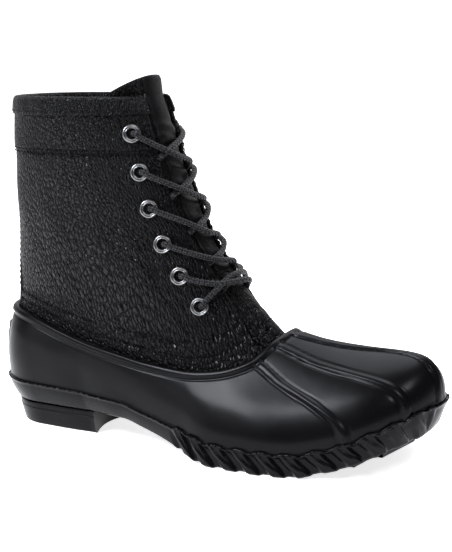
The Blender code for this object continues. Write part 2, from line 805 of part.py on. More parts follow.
def make_tongue():
    """The tongue and its bellows wings, following the inside of the shaft."""
    outer = []
    inner = []
    for row in range(len(TONGUE_ROWS) + 2):
        outer_row = []
        inner_row = []
        for column in range(TONGUE_COLUMNS + 1):
            place = 2 * column / TONGUE_COLUMNS - 1
            height = TONGUE_ROWS[min(row, len(TONGUE_ROWS) - 1)]
            height += (tongue_top(place) - height) * max(row + 1 - len(TONGUE_ROWS), 0) / 2
            ring = 0.5 + place * TONGUE_HALF
            bulge = TONGUE_BULGE * max(0.0, 1 - (place / 0.5) ** 2) * float(np.clip(height / 0.1, 0, 1))
            bulge *= float(np.clip((1 - height) / 0.15, 0, 1))
            under_binding = float(np.clip((height - 0.84) / 0.06, 0, 1))
            inset = LEATHER_WALL + SEAT_GAP * 5 + under_binding * (TRIM_WALL + SEAT_GAP * 2)
            inset -= TONGUE_TIP * float(np.clip((height - 1.02) / 0.12, 0, 1))
            outer_row.append(offset(shaft_point, ring, height, bulge - inset))
            inner_row.append(offset(shaft_point, ring, height, bulge - inset - TONGUE_WALL))
        outer.append(outer_row)
        inner.append(inner_row)
    return sheet_solid("tongue", outer, inner, lambda row, column: True, LEATHER, closed=False)


def make_backstay():
    """The strip over the back seam, from the rubber rim to the collar binding."""
    rows = (0.02, 0.12, 0.26, 0.4, 0.55, 0.72, 0.79, 0.92)
    wide = BACKSTAY_WIDTH / 2
    outer = []
    inner = []
    for height in rows:
        outer_row = []
        inner_row = []
        for column in range(5):
            place = column / 2 - 1
            radius = np.linalg.norm(shaft_point(0.02, height) - shaft_point(0.0, height)) / 0.02
            ring = place * wide / radius
            seat = leather_relief(height) + SEAT_GAP
            outer_row.append(offset(shaft_point, ring, height, seat + TRIM_WALL * (1 - 0.3 * abs(place))))
            inner_row.append(offset(shaft_point, ring, height, seat))
        outer.append(outer_row)
        inner.append(inner_row)
    return sheet_solid("backstay", outer, inner, lambda row, column: True, LEATHER, closed=False)


def make_binding():
    """The folded strip over the collar: a channel whose section is carried round the ring."""
    deep = BINDING_DEPTH / (SHAFT_HEIGHT - RIM_HEIGHT)
    low = 1 - deep
    seat = SEAT_GAP * 1.5
    wall = LEATHER_WALL
    section = (
        (low, seat, "outer"),
        (low, seat + TRIM_WALL * 0.7, "outer"),
        (low + deep * 0.5, seat + TRIM_WALL, "outer"),
        (1.0, seat + TRIM_WALL * 0.8, "outer"),
        (1.0 + 0.012, -wall / 2, "outer"),
        (1.0, -wall - seat - TRIM_WALL * 0.8, "inner"),
        (low + deep * 0.2, -wall - seat - TRIM_WALL, "inner"),
        (low + deep * 0.2, -wall - seat, "inner"),
        (1.0 + 0.004, -wall - seat, "inner"),
        (1.0 + 0.004, seat, "inner"),
    )
    columns = 24
    size = len(section)
    vertices = []
    faces = []
    edge_share = flap_value("edge", 1.0) - 0.0005
    for column in range(columns + 1):
        ring = -edge_share + 2 * edge_share * column / columns
        for height, out, where in section:
            pad = leather_relief(height) if where == "outer" and height < 1.0 else 0.0
            vertices.append(offset(shaft_point, ring, height, out + max(pad, 0.0)))
    for column in range(columns):
        here, after = column * size, (column + 1) * size
        for point in range(size):
            following = (point + 1) % size
            faces.append((here + point, after + point, after + following, here + following))
    faces.append(tuple(range(size)))
    faces.append(tuple(columns * size + point for point in range(size))[::-1])
    return new_object("collar_binding", vertices, faces, LEATHER)


def tube(path, radius, sides):
    """Points and faces of a capped round tube along a path."""
    path = np.array(path)
    vertices = []
    faces = []
    up = np.array([0.0, 0.0, 1.0])
    for place, point in enumerate(path):
        before = path[max(place - 1, 0)]
        after = path[min(place + 1, len(path) - 1)]
        along = (after - before) / np.linalg.norm(after - before)
        across = np.cross(along, up)
        across /= np.linalg.norm(across)
        over = np.cross(across, along)
        for step in range(sides):
            turn = 2 * math.pi * step / sides
            vertices.append(point + radius * (math.cos(turn) * across + math.sin(turn) * over))
    for place in range(len(path) - 1):
        here, after = place * sides, (place + 1) * sides
        for step in range(sides):
            following = (step + 1) % sides
            faces.append((here + step, after + step, after + following, here + following))
    faces.append(tuple(range(sides)))
    last = (len(path) - 1) * sides
    faces.append(tuple(last + step for step in range(sides))[::-1])
    return vertices, faces


def strand(side, number):
    """A lace strand from outside one eyelet across the throat to the edge of the other flap."""
    start = EYELET_HEIGHTS[number]
    end = EYELET_HEIGHTS[number - 1]
    first = flap_value("eyelets", start) + 0.013
    last = flap_value("edge", end) + 0.004
    path = []
    steps = 7
    fall = 0.26 if number == 1 else 0.45
    for step in range(steps + 1):
        part = step / steps
        share = first + (1 - last - first) * part
        ring = share if side == LATERAL else 1 - share
        height = start + (end - start) * fall * (part + part**2)
        lift = LACE_LIFT + leather_relief(height) + 0.0016 * math.sin(math.pi * part)
        path.append(offset(shaft_point, ring, height, lift + LACE_DIAMETER / 2 * 0.6))
    return path


def make_crossing(number):
    """Two strands that cross over the tongue, joined where they meet."""
    name = "lace_cross_" + str(number)
    vertices, faces = tube(strand(LATERAL, number), LACE_DIAMETER / 2, 7)
    crossing = new_object(name, vertices, faces, CORD)
    vertices, faces = tube(strand(MEDIAL, number), LACE_DIAMETER / 2, 7)
    other = new_object(name + "_under", vertices, faces, CORD)
    boolean(crossing, other, "UNION")
    return crossing


def make_bar():
    """The straight run of the lace between the two lowest eyelets."""
    height = EYELET_HEIGHTS[0]
    first = flap_value("eyelets", height) + 0.013
    path = []
    for step in range(11):
        part = step / 10
        ring = first + (1 - 2 * first) * part
        lift = LACE_LIFT + 0.0010 * math.sin(math.pi * part)
        path.append(offset(shaft_point, ring, height + 0.012 * math.sin(math.pi * part), lift + LACE_DIAMETER / 2 * 0.6))
    vertices, faces = tube(path, LACE_DIAMETER / 2, 7)
    return new_object("lace_bar", vertices, faces, CORD)


def stand(pieces):
    """Parents the pieces to one empty, so that the middle of the boot's footprint is the origin."""
    graph = bpy.context.evaluated_depsgraph_get()
    corners = []
    for piece in pieces:
        mesh = piece.evaluated_get(graph).to_mesh()
        corners += [tuple(vertex.co) for vertex in mesh.vertices]
        piece.evaluated_get(graph).to_mesh_clear()
    corners = np.array(corners)
    low = corners.min(axis=0)
    high = corners.max(axis=0)
    root = bpy.data.objects.new("boot", None)
    bpy.context.scene.collection.objects.link(root)
    root.location = (-(low[0] + high[0]) / 2, -(low[1] + high[1]) / 2, -low[2])
    for piece in bpy.data.objects:
        if piece is not root:
            piece.parent = root


def main():
    for old in list(bpy.data.objects):
        bpy.data.objects.remove(old)
    pieces = [make_outsole(), make_heel(), make_insole(), make_shell(), make_shaft(), make_tongue()]
    pieces += [make_backstay(), make_binding(), make_bar()]
    pieces += [make_crossing(number) for number in range(1, EYELET_COUNT)]
    for side in (LATERAL, MEDIAL):
        pieces += [make_eyelet(side, number) for number in range(EYELET_COUNT)]
    bpy.context.view_layer.update()
    stand(pieces)


main()
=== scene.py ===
"""Looks of the duck boot: fine surfaces, seams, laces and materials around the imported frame.

Sizes are metres in the boot's own construction frame: x runs from the heel to the toe, -y is the
outer side that faces the camera, and z = 0 is the floor. SHIFT moves them to the row's frame.
"""

import math

import bpy
import numpy as np
from mathutils import Matrix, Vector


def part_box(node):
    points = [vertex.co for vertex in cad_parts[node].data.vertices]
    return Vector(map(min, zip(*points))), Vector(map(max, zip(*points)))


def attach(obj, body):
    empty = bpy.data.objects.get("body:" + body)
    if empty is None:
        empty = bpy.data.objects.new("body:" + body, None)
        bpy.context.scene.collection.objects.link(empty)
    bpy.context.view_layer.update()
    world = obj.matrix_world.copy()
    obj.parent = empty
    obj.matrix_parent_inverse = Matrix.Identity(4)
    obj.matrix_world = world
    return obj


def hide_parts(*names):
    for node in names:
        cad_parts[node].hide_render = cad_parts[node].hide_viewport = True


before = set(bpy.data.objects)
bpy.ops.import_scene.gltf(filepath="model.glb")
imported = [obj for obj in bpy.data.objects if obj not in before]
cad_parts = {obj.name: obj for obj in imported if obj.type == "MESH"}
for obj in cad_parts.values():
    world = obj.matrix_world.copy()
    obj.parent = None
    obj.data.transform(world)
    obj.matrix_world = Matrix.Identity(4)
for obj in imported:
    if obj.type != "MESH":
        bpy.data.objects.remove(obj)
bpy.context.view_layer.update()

# The last and the shaft, as in the part's source
FOOT_LENGTH, BALL_WIDTH, HEEL_WIDTH = 0.300, 0.107, 0.072
HEEL_ROUND, TOE_ROUND = 0.036, 0.054
HEEL_HEIGHT, HEEL_LENGTH = 0.015, 0.079
SOLE_THICKNESS, TOE_SPRING = 0.0128, 0.025
RIM_HEIGHT, TOE_FULLNESS = 0.079, 0.031
SHAFT_HEIGHT, COLLAR_LENGTH, COLLAR_WIDTH = 0.2130, 0.099, 0.077
ANKLE_HEIGHT, ANKLE_LENGTH, ANKLE_WIDTH = 0.114, 0.148, 0.067
CALF_HEIGHT, CALF_LENGTH, CALF_WIDTH = 0.168, 0.120, 0.072
SHELL_WALL, LEATHER_WALL, TONGUE_WALL, TRIM_WALL = 0.0026, 0.0022, 0.0028, 0.0012
SEAT_GAP, SHELL_INSET = 0.0003, 0.0015
SHAFT_BACK = 0.041
CUFF_PAD, BACKSTAY_WIDTH, BINDING_DEPTH = 0.0009, 0.026, 0.009
TONGUE_TIP, TONGUE_HALF, TONGUE_BULGE = 0.004, 0.20, 0.0012
LUG_COUNT, LUG_START = 12, 0.475
EYELET_OUTER, EYELET_HOLE = 0.0115, 0.0062
LACE_DIAMETER = 0.0037
THROAT_SWELL = 0.0045
LATERAL, MEDIAL = -1, 1
SIDE_NAMES = {LATERAL: "lateral", MEDIAL: "medial"}
RIM_STITCHES, CUFF_STITCHES = (0.112, 0.068), (0.768, 0.752)

OUTLINE = {
    "along": (0.00, 0.10, 0.20, 0.30, 0.40, 0.50, 0.60, 0.68, 0.76, 0.84, 0.92, 1.00),
    "centre": (0.0, 0.0, 0.0, 0.0, 0.010, 0.019, 0.037, 0.056, 0.075, 0.103, 0.131, 0.150),
    "lateral": (0.944, 0.944, 0.972, 0.938, 0.894, 0.929, 1.028, 1.047, 0.991, 0.888, 0.822, 0.673),
    "medial": (0.972, 1.000, 0.972, 0.848, 0.726, 0.711, 0.804, 0.925, 0.981, 0.953, 0.897, 0.785),
}
SIDE_COLUMNS = ("along", "lift", "spring", "thick", "tuck")
SIDE = (
    (0.000, 1.00, 0.00, 1.25, 0.55),
    (0.180, 1.00, 0.00, 1.17, 0.55),
    (0.270, 1.00, 0.00, 1.05, 0.50),
    (0.345, 1.00, 0.00, 0.95, 0.40),
    (0.400, 0.80, 0.00, 0.89, 0.30),
    (0.465, 0.53, 0.00, 0.93, 0.20),
    (0.520, 0.22, 0.00, 1.03, 0.10),
    (0.555, 0.04, 0.00, 1.09, 0.08),
    (0.580, 0.00, 0.00, 1.03, 0.08),
    (0.700, 0.00, 0.00, 0.985, 0.08),
    (0.755, 0.00, 0.00, 1.00, 0.08),
    (0.800, 0.00, 0.12, 1.015, 0.10),
    (0.850, 0.00, 0.28, 1.04, 0.12),
    (0.900, 0.00, 0.52, 1.13, 0.20),
    (0.957, 0.00, 0.79, 1.20, 0.42),
    (1.000, 0.00, 1.00, 1.25, 0.62),
)
MERIDIAN_COLUMNS = (
    "share", "foot", "rim_along", "rim_side", "rim_rise",
    "lift", "drop", "flare", "reach", "medial_lift", "medial_drop",
)
MERIDIANS = (
    (0.000, 0.000, 0.027, 0.000, 1.000, 0.55, 0.48, 0.113, 0.40, 0.55, 0.48),
    (0.050, 0.058, 0.040, 0.290, 0.992, 0.53, 0.46, 0.105, 0.40, 0.53, 0.46),
    (0.100, 0.133, 0.097, 0.510, 0.960, 0.48, 0.42, 0.095, 0.40, 0.48, 0.42),
    (0.160, 0.214, 0.187, 0.605, 0.865, 0.40, 0.37, 0.085, 0.40, 0.40, 0.37),
    (0.210, 0.287, 0.265, 0.640, 0.785, 0.36, 0.35, 0.080, 0.40, 0.36, 0.35),
    (0.260, 0.362, 0.343, 0.672, 0.734, 0.34, 0.33, 0.080, 0.42, 0.34, 0.33),
    (0.300, 0.440, 0.417, 0.692, 0.690, 0.34, 0.33, 0.075, 0.45, 0.36, 0.33),
    (0.350, 0.536, 0.507, 0.700, 0.665, 0.40, 0.36, 0.065, 0.50, 0.44, 0.36),
    (0.390, 0.629, 0.568, 0.655, 0.684, 0.48, 0.48, 0.050, 0.55, 0.54, 0.50),
    (0.435, 0.809, 0.633, 0.510, 0.770, 0.60, 0.70, 0.040, 0.68, 0.98, 0.86),
    (0.465, 0.922, 0.662, 0.310, 0.895, 1.00, 0.62, 0.020, 0.66, 1.10, 0.88),
    (0.500, 1.000, 0.683, 0.000, 0.965, 1.38, 0.58, -0.030, 0.73, 1.38, 0.58),
)
RIM_CENTRE = 0.04
FLAP_COLUMNS = ("height", "edge", "eyelets")
FLAP = (
    (0.00, 0.450, 0.404),
    (0.15, 0.452, 0.399),
    (0.28, 0.446, 0.373),
    (0.40, 0.433, 0.363),
    (0.54, 0.429, 0.367),
    (0.75, 0.440, 0.383),
    (1.00, 0.450, 0.392),
)
EYELET_HEIGHTS = (0.191, 0.270, 0.376, 0.518, 0.675, 0.847)
SHAFT_KNOTS = np.array([-0.06, 0.0, 0.30, 0.66, 1.0])


def read(columns, rows, name):
    """One column of a table."""
    place = columns.index(name)
    return np.array([row[place] for row in rows])


def unit(vectors):
    return vectors / np.linalg.norm(vectors, axis=-1, keepdims=True)


def length_along(path):
    """Metres from the path's start to each of its points."""
    return np.concatenate([[0], np.cumsum(np.linalg.norm(np.diff(path, axis=0), axis=1))])


def points_at(where, run, path):
    """The path's points, or its normals, at these metres from its start."""
    return np.stack([np.interp(where, run, values) for values in path.T], -1)


def hermite(part, step, low, high, low_slope, high_slope):
    """The cubic over a step between two values with these slopes."""
    rest = 1 - part
    return (
        rest**2 * (1 + 2 * part) * low
        + part**2 * (1 + 2 * rest) * high
        + part * rest**2 * step * low_slope
        - part**2 * rest * step * high_slope
    )


def follow(knots, values, at):
    """A smooth curve through the knots that never overshoots them."""
    knots, values = np.asarray(knots, float), np.asarray(values, float)
    step = np.diff(knots)
    rise = np.diff(values) / step
    same = rise[:-1] * rise[1:] > 0
    inner = np.where(same, 2 * rise[:-1] * rise[1:] / np.where(same, rise[:-1] + rise[1:], 1), 0)
    slope = np.concatenate([[rise[0]], inner, [rise[-1]]])
    at = np.clip(at, knots[0], knots[-1])
    cell = np.clip(np.searchsorted(knots, at) - 1, 0, len(step) - 1)
    part = (at - knots[cell]) / step[cell]
    return hermite(part, step[cell], values[cell], values[cell + 1], slope[cell], slope[cell + 1])


def side_value(name, along):
    """A column of the sole's side profile at these shares of the foot's length."""
    return follow(read(SIDE_COLUMNS, SIDE, "along"), read(SIDE_COLUMNS, SIDE, name), along)


def sole_bottom(x):
    along = np.asarray(x) / FOOT_LENGTH
    return HEEL_HEIGHT * side_value("lift", along) + TOE_SPRING * side_value("spring", along)


def sole_top(x):
    return sole_bottom(x) + SOLE_THICKNESS * side_value("thick", np.asarray(x) / FOOT_LENGTH)


def dense_edge(side):
    """One side of the sole's edge from heel to toe: points, outward directions and shares."""
    turn = np.linspace(0, math.pi, 721)
    along = (1 - np.cos(turn)) / 2
    blend = np.clip((along - 0.25) / 0.30, 0, 1)
    local = (HEEL_WIDTH * (1 - blend) + BALL_WIDTH * blend) / 2
    x = along * FOOT_LENGTH
    heel_cap = np.sqrt(np.clip(1 - (np.clip(HEEL_ROUND - x, 0, None) / HEEL_ROUND) ** 2, 0, 1))
    past_toe = np.clip(x - FOOT_LENGTH + TOE_ROUND, 0, None)
    toe_cap = np.sqrt(np.clip(1 - (past_toe / TOE_ROUND) ** 2, 0, 1))
    half = local * follow(OUTLINE["along"], OUTLINE[SIDE_NAMES[side]], along) * heel_cap * toe_cap
    y = BALL_WIDTH / 2 * follow(OUTLINE["along"], OUTLINE["centre"], along) + side * half
    run = np.concatenate([[0], np.cumsum(np.hypot(np.diff(x), np.diff(y)))])
    dx, dy = np.gradient(x, run), np.gradient(y, run)
    dx[0] = dx[-1] = 0.0
    dy[0], dy[-1] = side, -side
    return np.stack([x, y], -1), unit(np.stack([-side * dy, side * dx], -1)), run / run[-1]


EDGES = {side: dense_edge(side) for side in (LATERAL, MEDIAL)}


def edge(side, share, inset=0.0):
    """Points of the sole's edge, drawn in by the inset, and their outward directions."""
    line, out, shares = EDGES[side]
    out = unit(points_at(share, shares, out))
    return points_at(share, shares, line) - np.asarray(inset)[..., None] * out, out


def split(ring):
    """The side of the foot and the share of its edge at this place round the boot."""
    ring = ring % 1.0
    return (LATERAL, ring) if ring <= 0.5 else (MEDIAL, 1.0 - ring)


def meridian_value(name, share, odd=False):
    """A column of the shell's table, mirrored past heel and toe."""
    knots = read(MERIDIAN_COLUMNS, MERIDIANS, "share")
    values = read(MERIDIAN_COLUMNS, MERIDIANS, name)
    sign = -1 if odd else 1
    knots = np.concatenate([[-knots[1]], knots, [1 - knots[-2]]])
    values = np.concatenate([[sign * values[1]], values, [sign * values[-2]]])
    return float(follow(knots, values, share))


def rim_point(ring):
    """A point of the shell's rim."""
    side, share = split(ring)
    across = side * meridian_value("rim_side", share, odd=True) + RIM_CENTRE * share * 2
    return np.array([
        FOOT_LENGTH * meridian_value("rim_along", share),
        BALL_WIDTH / 2 * across,
        RIM_HEIGHT * meridian_value("rim_rise", share),
    ])


def shell_handles(ring):
    """The four handles of the shell's curve from the sole to the rim at this place round the boot."""
    side, share = split(ring)
    foot, out = edge(side, meridian_value("foot", share), SHELL_INSET)
    low = np.array([foot[0], foot[1], float(sole_top(foot[0])) + SEAT_GAP])
    rim = rim_point(ring)
    outward = np.array([out[0], out[1], 0.0]) * TOE_FULLNESS * meridian_value("flare", share)
    medial = side == MEDIAL
    lift = meridian_value("medial_lift" if medial else "lift", share)
    drop = meridian_value("medial_drop" if medial else "drop", share)
    up = np.array([0.0, 0.0, TOE_FULLNESS])
    level = (low - rim) * np.array([1.0, 1.0, 0.0]) * meridian_value("reach", share)
    return low, low + up * lift + outward, rim - up * drop + level + outward, rim


def oval(ring, back, length, width, height):
    """A point of one of the shaft's rings, from the back round by the outer side."""
    turn = 2 * math.pi * ring
    lean = abs(math.cos(turn)) ** 0.9 * math.copysign(1, math.cos(turn))
    wide = abs(math.sin(turn)) ** 0.85 * math.copysign(1, math.sin(turn))
    return np.array([back + length / 2 * (1 - lean), -width / 2 * wide, height])


class Surface:
    """A closed surface as a table of points over ring places and even heights, with its normals."""

    def __init__(self, table, low, high):
        self.table, self.low, self.high = table, low, high
        across = np.roll(table, -1, 1) - np.roll(table, 1, 1)
        self.normals = unit(np.cross(across, np.gradient(table, axis=0)))
        self.speeds = np.linalg.norm(across, axis=2) * table.shape[1] / 2

    def look(self, values, ring, height):
        rows, columns = self.table.shape[:2]
        place = (np.asarray(ring, float) % 1.0) * columns
        left = np.floor(place).astype(int)
        across = place - left
        share = (np.asarray(height, float) - self.low) / (self.high - self.low)
        level = np.clip(share, 0, 1) * (rows - 1)
        under = np.clip(np.floor(level).astype(int), 0, rows - 2)
        up = level - under
        if values.ndim == 3:
            across, up = across[..., None], up[..., None]
        left, right = left % columns, (left + 1) % columns
        low = values[under, left] * (1 - across) + values[under, right] * across
        high = values[under + 1, left] * (1 - across) + values[under + 1, right] * across
        return low * (1 - up) + high * up

    def at(self, ring, height, out=0.0):
        ring, height, out = np.broadcast_arrays(ring, height, out)
        return self.look(self.table, ring, height) + self.normal(ring, height) * out[..., None]

    def normal(self, ring, height):
        return unit(self.look(self.normals, ring, height))

    def speed(self, ring, height):
        """Metres of surface for one whole turn of the ring at this place."""
        return self.look(self.speeds, ring, height)


RINGS = np.arange(720) / 720
EVENING_PASSES = 30


def shell_table():
    """The shell's curves from the sole up to the rim, evened out round the boot."""
    handles = np.array([shell_handles(float(ring)) for ring in RINGS])
    height = np.linspace(0, 1, 121)[:, None]
    rest = 1 - height
    weights = np.hstack([rest**3, 3 * rest**2 * height, 3 * rest * height**2, height**3])
    table = np.einsum("hk,rkc->hrc", weights, handles)
    for _ in range(EVENING_PASSES):
        table = (np.roll(table, 1, 1) + 2 * table + np.roll(table, -1, 1)) / 4
    return table


SHELL = Surface(shell_table(), 0.0, 1.0)


def throat_swell(ring, height):
    """How far the leather at the foot of the throat lies forward and up over the instep."""
    near = np.clip(1 - ((ring - 0.5) / 0.15) ** 2, 0.0, None) ** 2
    part = min(height / 0.36, 1.0)
    swell = THROAT_SWELL * near * 6.75 * part * (1 - part) ** 2
    return swell[:, None] * np.array([0.64, 0.0, 0.77])


def shaft_table():
    """The leather: tucked inside the shell below 0, then through the ankle, calf and collar rings."""
    inward = SHELL_WALL + SEAT_GAP * 2
    rings = []
    for ring in RINGS:
        rings.append([
            SHELL.at(ring, 0.92, -inward),
            rim_point(ring) - inward * SHELL.normal(ring, 0.99),
            oval(ring, FOOT_LENGTH * SHAFT_BACK, ANKLE_LENGTH, ANKLE_WIDTH, ANKLE_HEIGHT),
            oval(ring, FOOT_LENGTH * (SHAFT_BACK + 0.003), CALF_LENGTH, CALF_WIDTH, CALF_HEIGHT),
            oval(ring, FOOT_LENGTH * (SHAFT_BACK + 0.016), COLLAR_LENGTH, COLLAR_WIDTH, SHAFT_HEIGHT),
        ])
    rings = np.array(rings)
    step = np.diff(SHAFT_KNOTS)[None, :, None]
    rise = np.diff(rings, axis=1) / step
    before, after = step[:, :-1], step[:, 1:]
    inner = (rise[:, :-1] * after + rise[:, 1:] * before) / (before + after)
    slope = np.concatenate([rise[:, :1], inner, rise[:, -1:]], axis=1)
    rows = []
    for height in np.linspace(-0.06, 1.20, 127):
        if height <= 0:
            rows.append(SHELL.at(RINGS, 1 + height / 0.08 * 0.16, -inward))
        elif height >= 1:
            rows.append(rings[:, -1] + slope[:, -1] * (height - 1))
        else:
            cell = min(int(np.searchsorted(SHAFT_KNOTS, height)) - 1, 3)
            size = float(step[0, cell, 0])
            part = (height - SHAFT_KNOTS[cell]) / size
            low, high = slope[:, cell], slope[:, cell + 1]
            row = hermite(part, size, rings[:, cell], rings[:, cell + 1], low, high)
            rows.append(row + throat_swell(RINGS, height))
    return np.array(rows)


SHAFT = Surface(shaft_table(), -0.06, 1.20)
SHAFT_RUN = SHAFT_HEIGHT - RIM_HEIGHT


def flap_value(name, height):
    """Where the flap's edge or its line of eyelets is at this height, as a share of the ring."""
    return follow(read(FLAP_COLUMNS, FLAP, "height"), read(FLAP_COLUMNS, FLAP, name), height)


def smooth(value, start, end):
    part = np.clip((value - start) / (end - start), 0, 1)
    return part * part * (3 - 2 * part)


def bump_line(distance, width):
    """A soft ridge of height 1 over a line."""
    return np.exp(-((distance / width) ** 2))


def joined(*spans):
    """Rows of a grid: one even span of (start, end, count) after the other."""
    return np.concatenate([np.linspace(*span)[:-1] for span in spans[:-1]] + [np.linspace(*spans[-1])])


# Where the part stands in the row's frame
low_corner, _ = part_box("outsole")
SHIFT = np.array([low_corner[0], low_corner[1] - EDGES[LATERAL][0][:, 1].min(), 0.0])


# Materials
def shader(name, colour, roughness, metallic=0.0, coat=0.0, coat_roughness=0.2, sheen=0.0):
    """A material of one colour, and its surface node for more detail."""
    material = bpy.data.materials.new(name)
    material.use_nodes = True
    node = material.node_tree.nodes["Principled BSDF"]
    node.inputs["Base Color"].default_value = (*colour, 1)
    node.inputs["Roughness"].default_value = roughness
    node.inputs["Metallic"].default_value = metallic
    node.inputs["Coat Weight"].default_value = coat
    node.inputs["Coat Roughness"].default_value = coat_roughness
    node.inputs["Sheen Weight"].default_value = sheen
    if metallic == 0.0:
        node.inputs["Specular IOR Level"].default_value = 0.15
    return material, node


class Net:
    """Small helper that adds nodes to a material and leads them to its surface."""

    def __init__(self, material, surface):
        self.tree, self.surface = material.node_tree, surface

    def lead(self, name, value):
        self.tree.links.new(value, self.surface.inputs[name])

    def place(self, kind):
        return self.add("ShaderNodeTexCoord").outputs[kind]

    def blend(self, factor, first, second):
        inputs = {"Factor": factor, "A": (*first, 1), "B": (*second, 1)}
        return self.add("ShaderNodeMix", inputs, data_type="RGBA").outputs["Result"]

    def add(self, kind, inputs=None, **settings):
        node = self.tree.nodes.new(kind)
        for key, value in settings.items():
            setattr(node, key, value)
        for key, value in (inputs or {}).items():
            if isinstance(value, bpy.types.NodeSocket):
                self.tree.links.new(value, node.inputs[key])
            else:
                node.inputs[key].default_value = value
        return node

    def math(self, operation, first, second=0.0):
        return self.add("ShaderNodeMath", {0: first, 1: second}, operation=operation).outputs[0]

    def span(self, value, low, high, out_low, out_high):
        inputs = {"Value": value, "From Min": low, "From Max": high, "To Min": out_low, "To Max": out_high}
        return self.add("ShaderNodeMapRange", inputs, interpolation_type="SMOOTHSTEP").outputs[0]

    def noise(self, vector, scale, detail=3.0, rough=0.55):
        inputs = {"Vector": vector, "Scale": scale, "Detail": detail, "Roughness": rough}
        return self.add("ShaderNodeTexNoise", inputs).outputs["Fac"]

    def bump(self, height, strength, distance, normal=None):
        inputs = {"Height": height, "Strength": strength, "Distance": distance}
        if normal is not None:
            inputs["Normal"] = normal
        return self.add("ShaderNodeBump", inputs).outputs["Normal"]


def times(colour, factor):
    return [value * factor for value in colour]


def rubber(name, colour, roughness, grain):
    """Moulded rubber: clouds of softer gloss, a fine grain and a little dust."""
    material, node = shader(name, colour, roughness, coat=0.10, coat_roughness=0.22)
    net = Net(material, node)
    where = net.place("Object")
    cloud = net.noise(where, 28.0, 4.0)
    fine = net.noise(where, 900.0, 3.0)
    dust = net.noise(where, 160.0, 6.0, 0.7)
    rough = net.span(cloud, 0.3, 0.7, roughness - 0.05, roughness + 0.06)
    rough = net.math("ADD", rough, net.span(dust, 0.60, 0.80, 0.0, 0.10))
    net.lead("Roughness", rough)
    dusty = net.span(dust, 0.5, 0.8, 0.0, 0.5)
    net.lead("Base Color", net.blend(dusty, colour, times(colour, 1.5)))
    net.lead("Normal", net.bump(fine, grain, 0.00012, net.bump(cloud, 0.25, 0.0012)))
    return material


PEBBLE_SCALE, PEBBLE_STRETCH = 600.0, 0.46


def leather(name, colour, roughness, pebble, size=1.0):
    """Pebbled leather: domed cells between fine furrows with painted shade in them, stretched up the shaft,
    on the UV map.
    """
    material, node = shader(name, colour, roughness)
    node.inputs["Specular IOR Level"].default_value = 0.30
    net = Net(material, node)
    plane = net.place("UV")
    warp = net.add("ShaderNodeTexNoise", {"Vector": plane, "Scale": 260.0, "Detail": 3.0})
    centred = {0: warp.outputs["Color"], 1: (0.5, 0.5, 0.5)}
    shift = net.add("ShaderNodeVectorMath", centred, operation="SUBTRACT")
    shift = net.add("ShaderNodeVectorMath", {0: shift.outputs[0], "Scale": 0.0030}, operation="SCALE")
    moved = net.add("ShaderNodeVectorMath", {0: plane, 1: shift.outputs[0]}, operation="ADD")
    turned = net.add("ShaderNodeMapping", {"Vector": moved.outputs[0], "Rotation": (0, 0, 0.22)})
    turned.inputs["Scale"].default_value = (1.0, PEBBLE_STRETCH, 1.0)
    grid = turned.outputs[0]
    to_edge, to_middle = (
        net.add("ShaderNodeTexVoronoi", {"Vector": grid, "Scale": PEBBLE_SCALE / size},
                feature=feature, voronoi_dimensions="2D").outputs["Distance"]
        for feature in ("DISTANCE_TO_EDGE", "F1")
    )
    furrow = net.span(to_edge, 0.0, 0.17, 0.0, 0.75)
    dome = net.math("MULTIPLY", net.math("MULTIPLY", to_middle, to_middle), -1.5)
    tilt = net.noise(grid, 420.0, 2.0)
    height = net.math("ADD", net.math("ADD", furrow, dome), net.math("MULTIPLY", tilt, 0.50))
    fine = net.noise(plane, 3200.0, 2.0)
    patch = net.noise(plane, 26.0, 3.0)
    net.lead("Normal", net.bump(fine, 0.10, 0.00008, net.bump(height, pebble, 0.0011)))
    rough = net.span(patch, 0.3, 0.7, roughness - 0.04, roughness + 0.05)
    net.lead("Roughness", net.math("ADD", rough, net.span(furrow, 0.0, 0.75, 0.45, 0.0)))
    # Painted shade: the base colour falls to 0.45 of the leather's colour in the furrows between the pebbles.
    net.lead("Base Color", net.blend(furrow, times(colour, 0.45), colour))
    return material


def woven(name, colour, scale, strength):
    """Cloth of crossed threads on the UV map."""
    material, node = shader(name, colour, 0.85, sheen=0.25)
    net = Net(material, node)
    threads = {"Vector": net.place("UV"), "Scale": scale, "Distortion": 0.4}
    warp, weft = (net.add("ShaderNodeTexWave", threads, bands_direction=way).outputs["Fac"] for way in "XY")
    net.lead("Normal", net.bump(net.math("MULTIPLY", warp, weft), strength, 0.0003))
    return material


BRAID_PITCH, BRAID_YARNS = 0.0032, 4


def braid(name, colour):
    """Round lace: two sets of yarns wound across each other, with painted highlights and shade over them; u
    runs along the lace and v round it.
    """
    material, node = shader(name, colour, 0.42, sheen=0.10)
    node.inputs["Specular IOR Level"].default_value = 0.35
    net = Net(material, node)
    along, about = net.add("ShaderNodeSeparateXYZ", {0: net.place("UV")}).outputs[:2]
    turns = net.math("MULTIPLY", along, 2 * math.pi / BRAID_PITCH)
    around = net.math("MULTIPLY", about, 2 * math.pi * BRAID_YARNS)
    first = net.math("SINE", net.math("ADD", turns, around))
    second = net.math("SINE", net.math("SUBTRACT", turns, around))
    height = net.math("MAXIMUM", first, second)
    fibre = net.noise(net.place("Object"), 2600.0, 2.0)
    net.lead("Normal", net.bump(fibre, 0.4, 0.00010, net.bump(height, 1.0, 0.00050)))
    # Painted highlight and shade: the base colour swings from 0.15 to 6 times the lace's colour over the
    # crossing yarns.
    painted_yarn_light = net.span(net.math("MULTIPLY", first, second), -0.4, 0.9, 0.0, 1.0)
    net.lead("Base Color", net.blend(painted_yarn_light, times(colour, 0.15), times(colour, 6.0)))
    return material


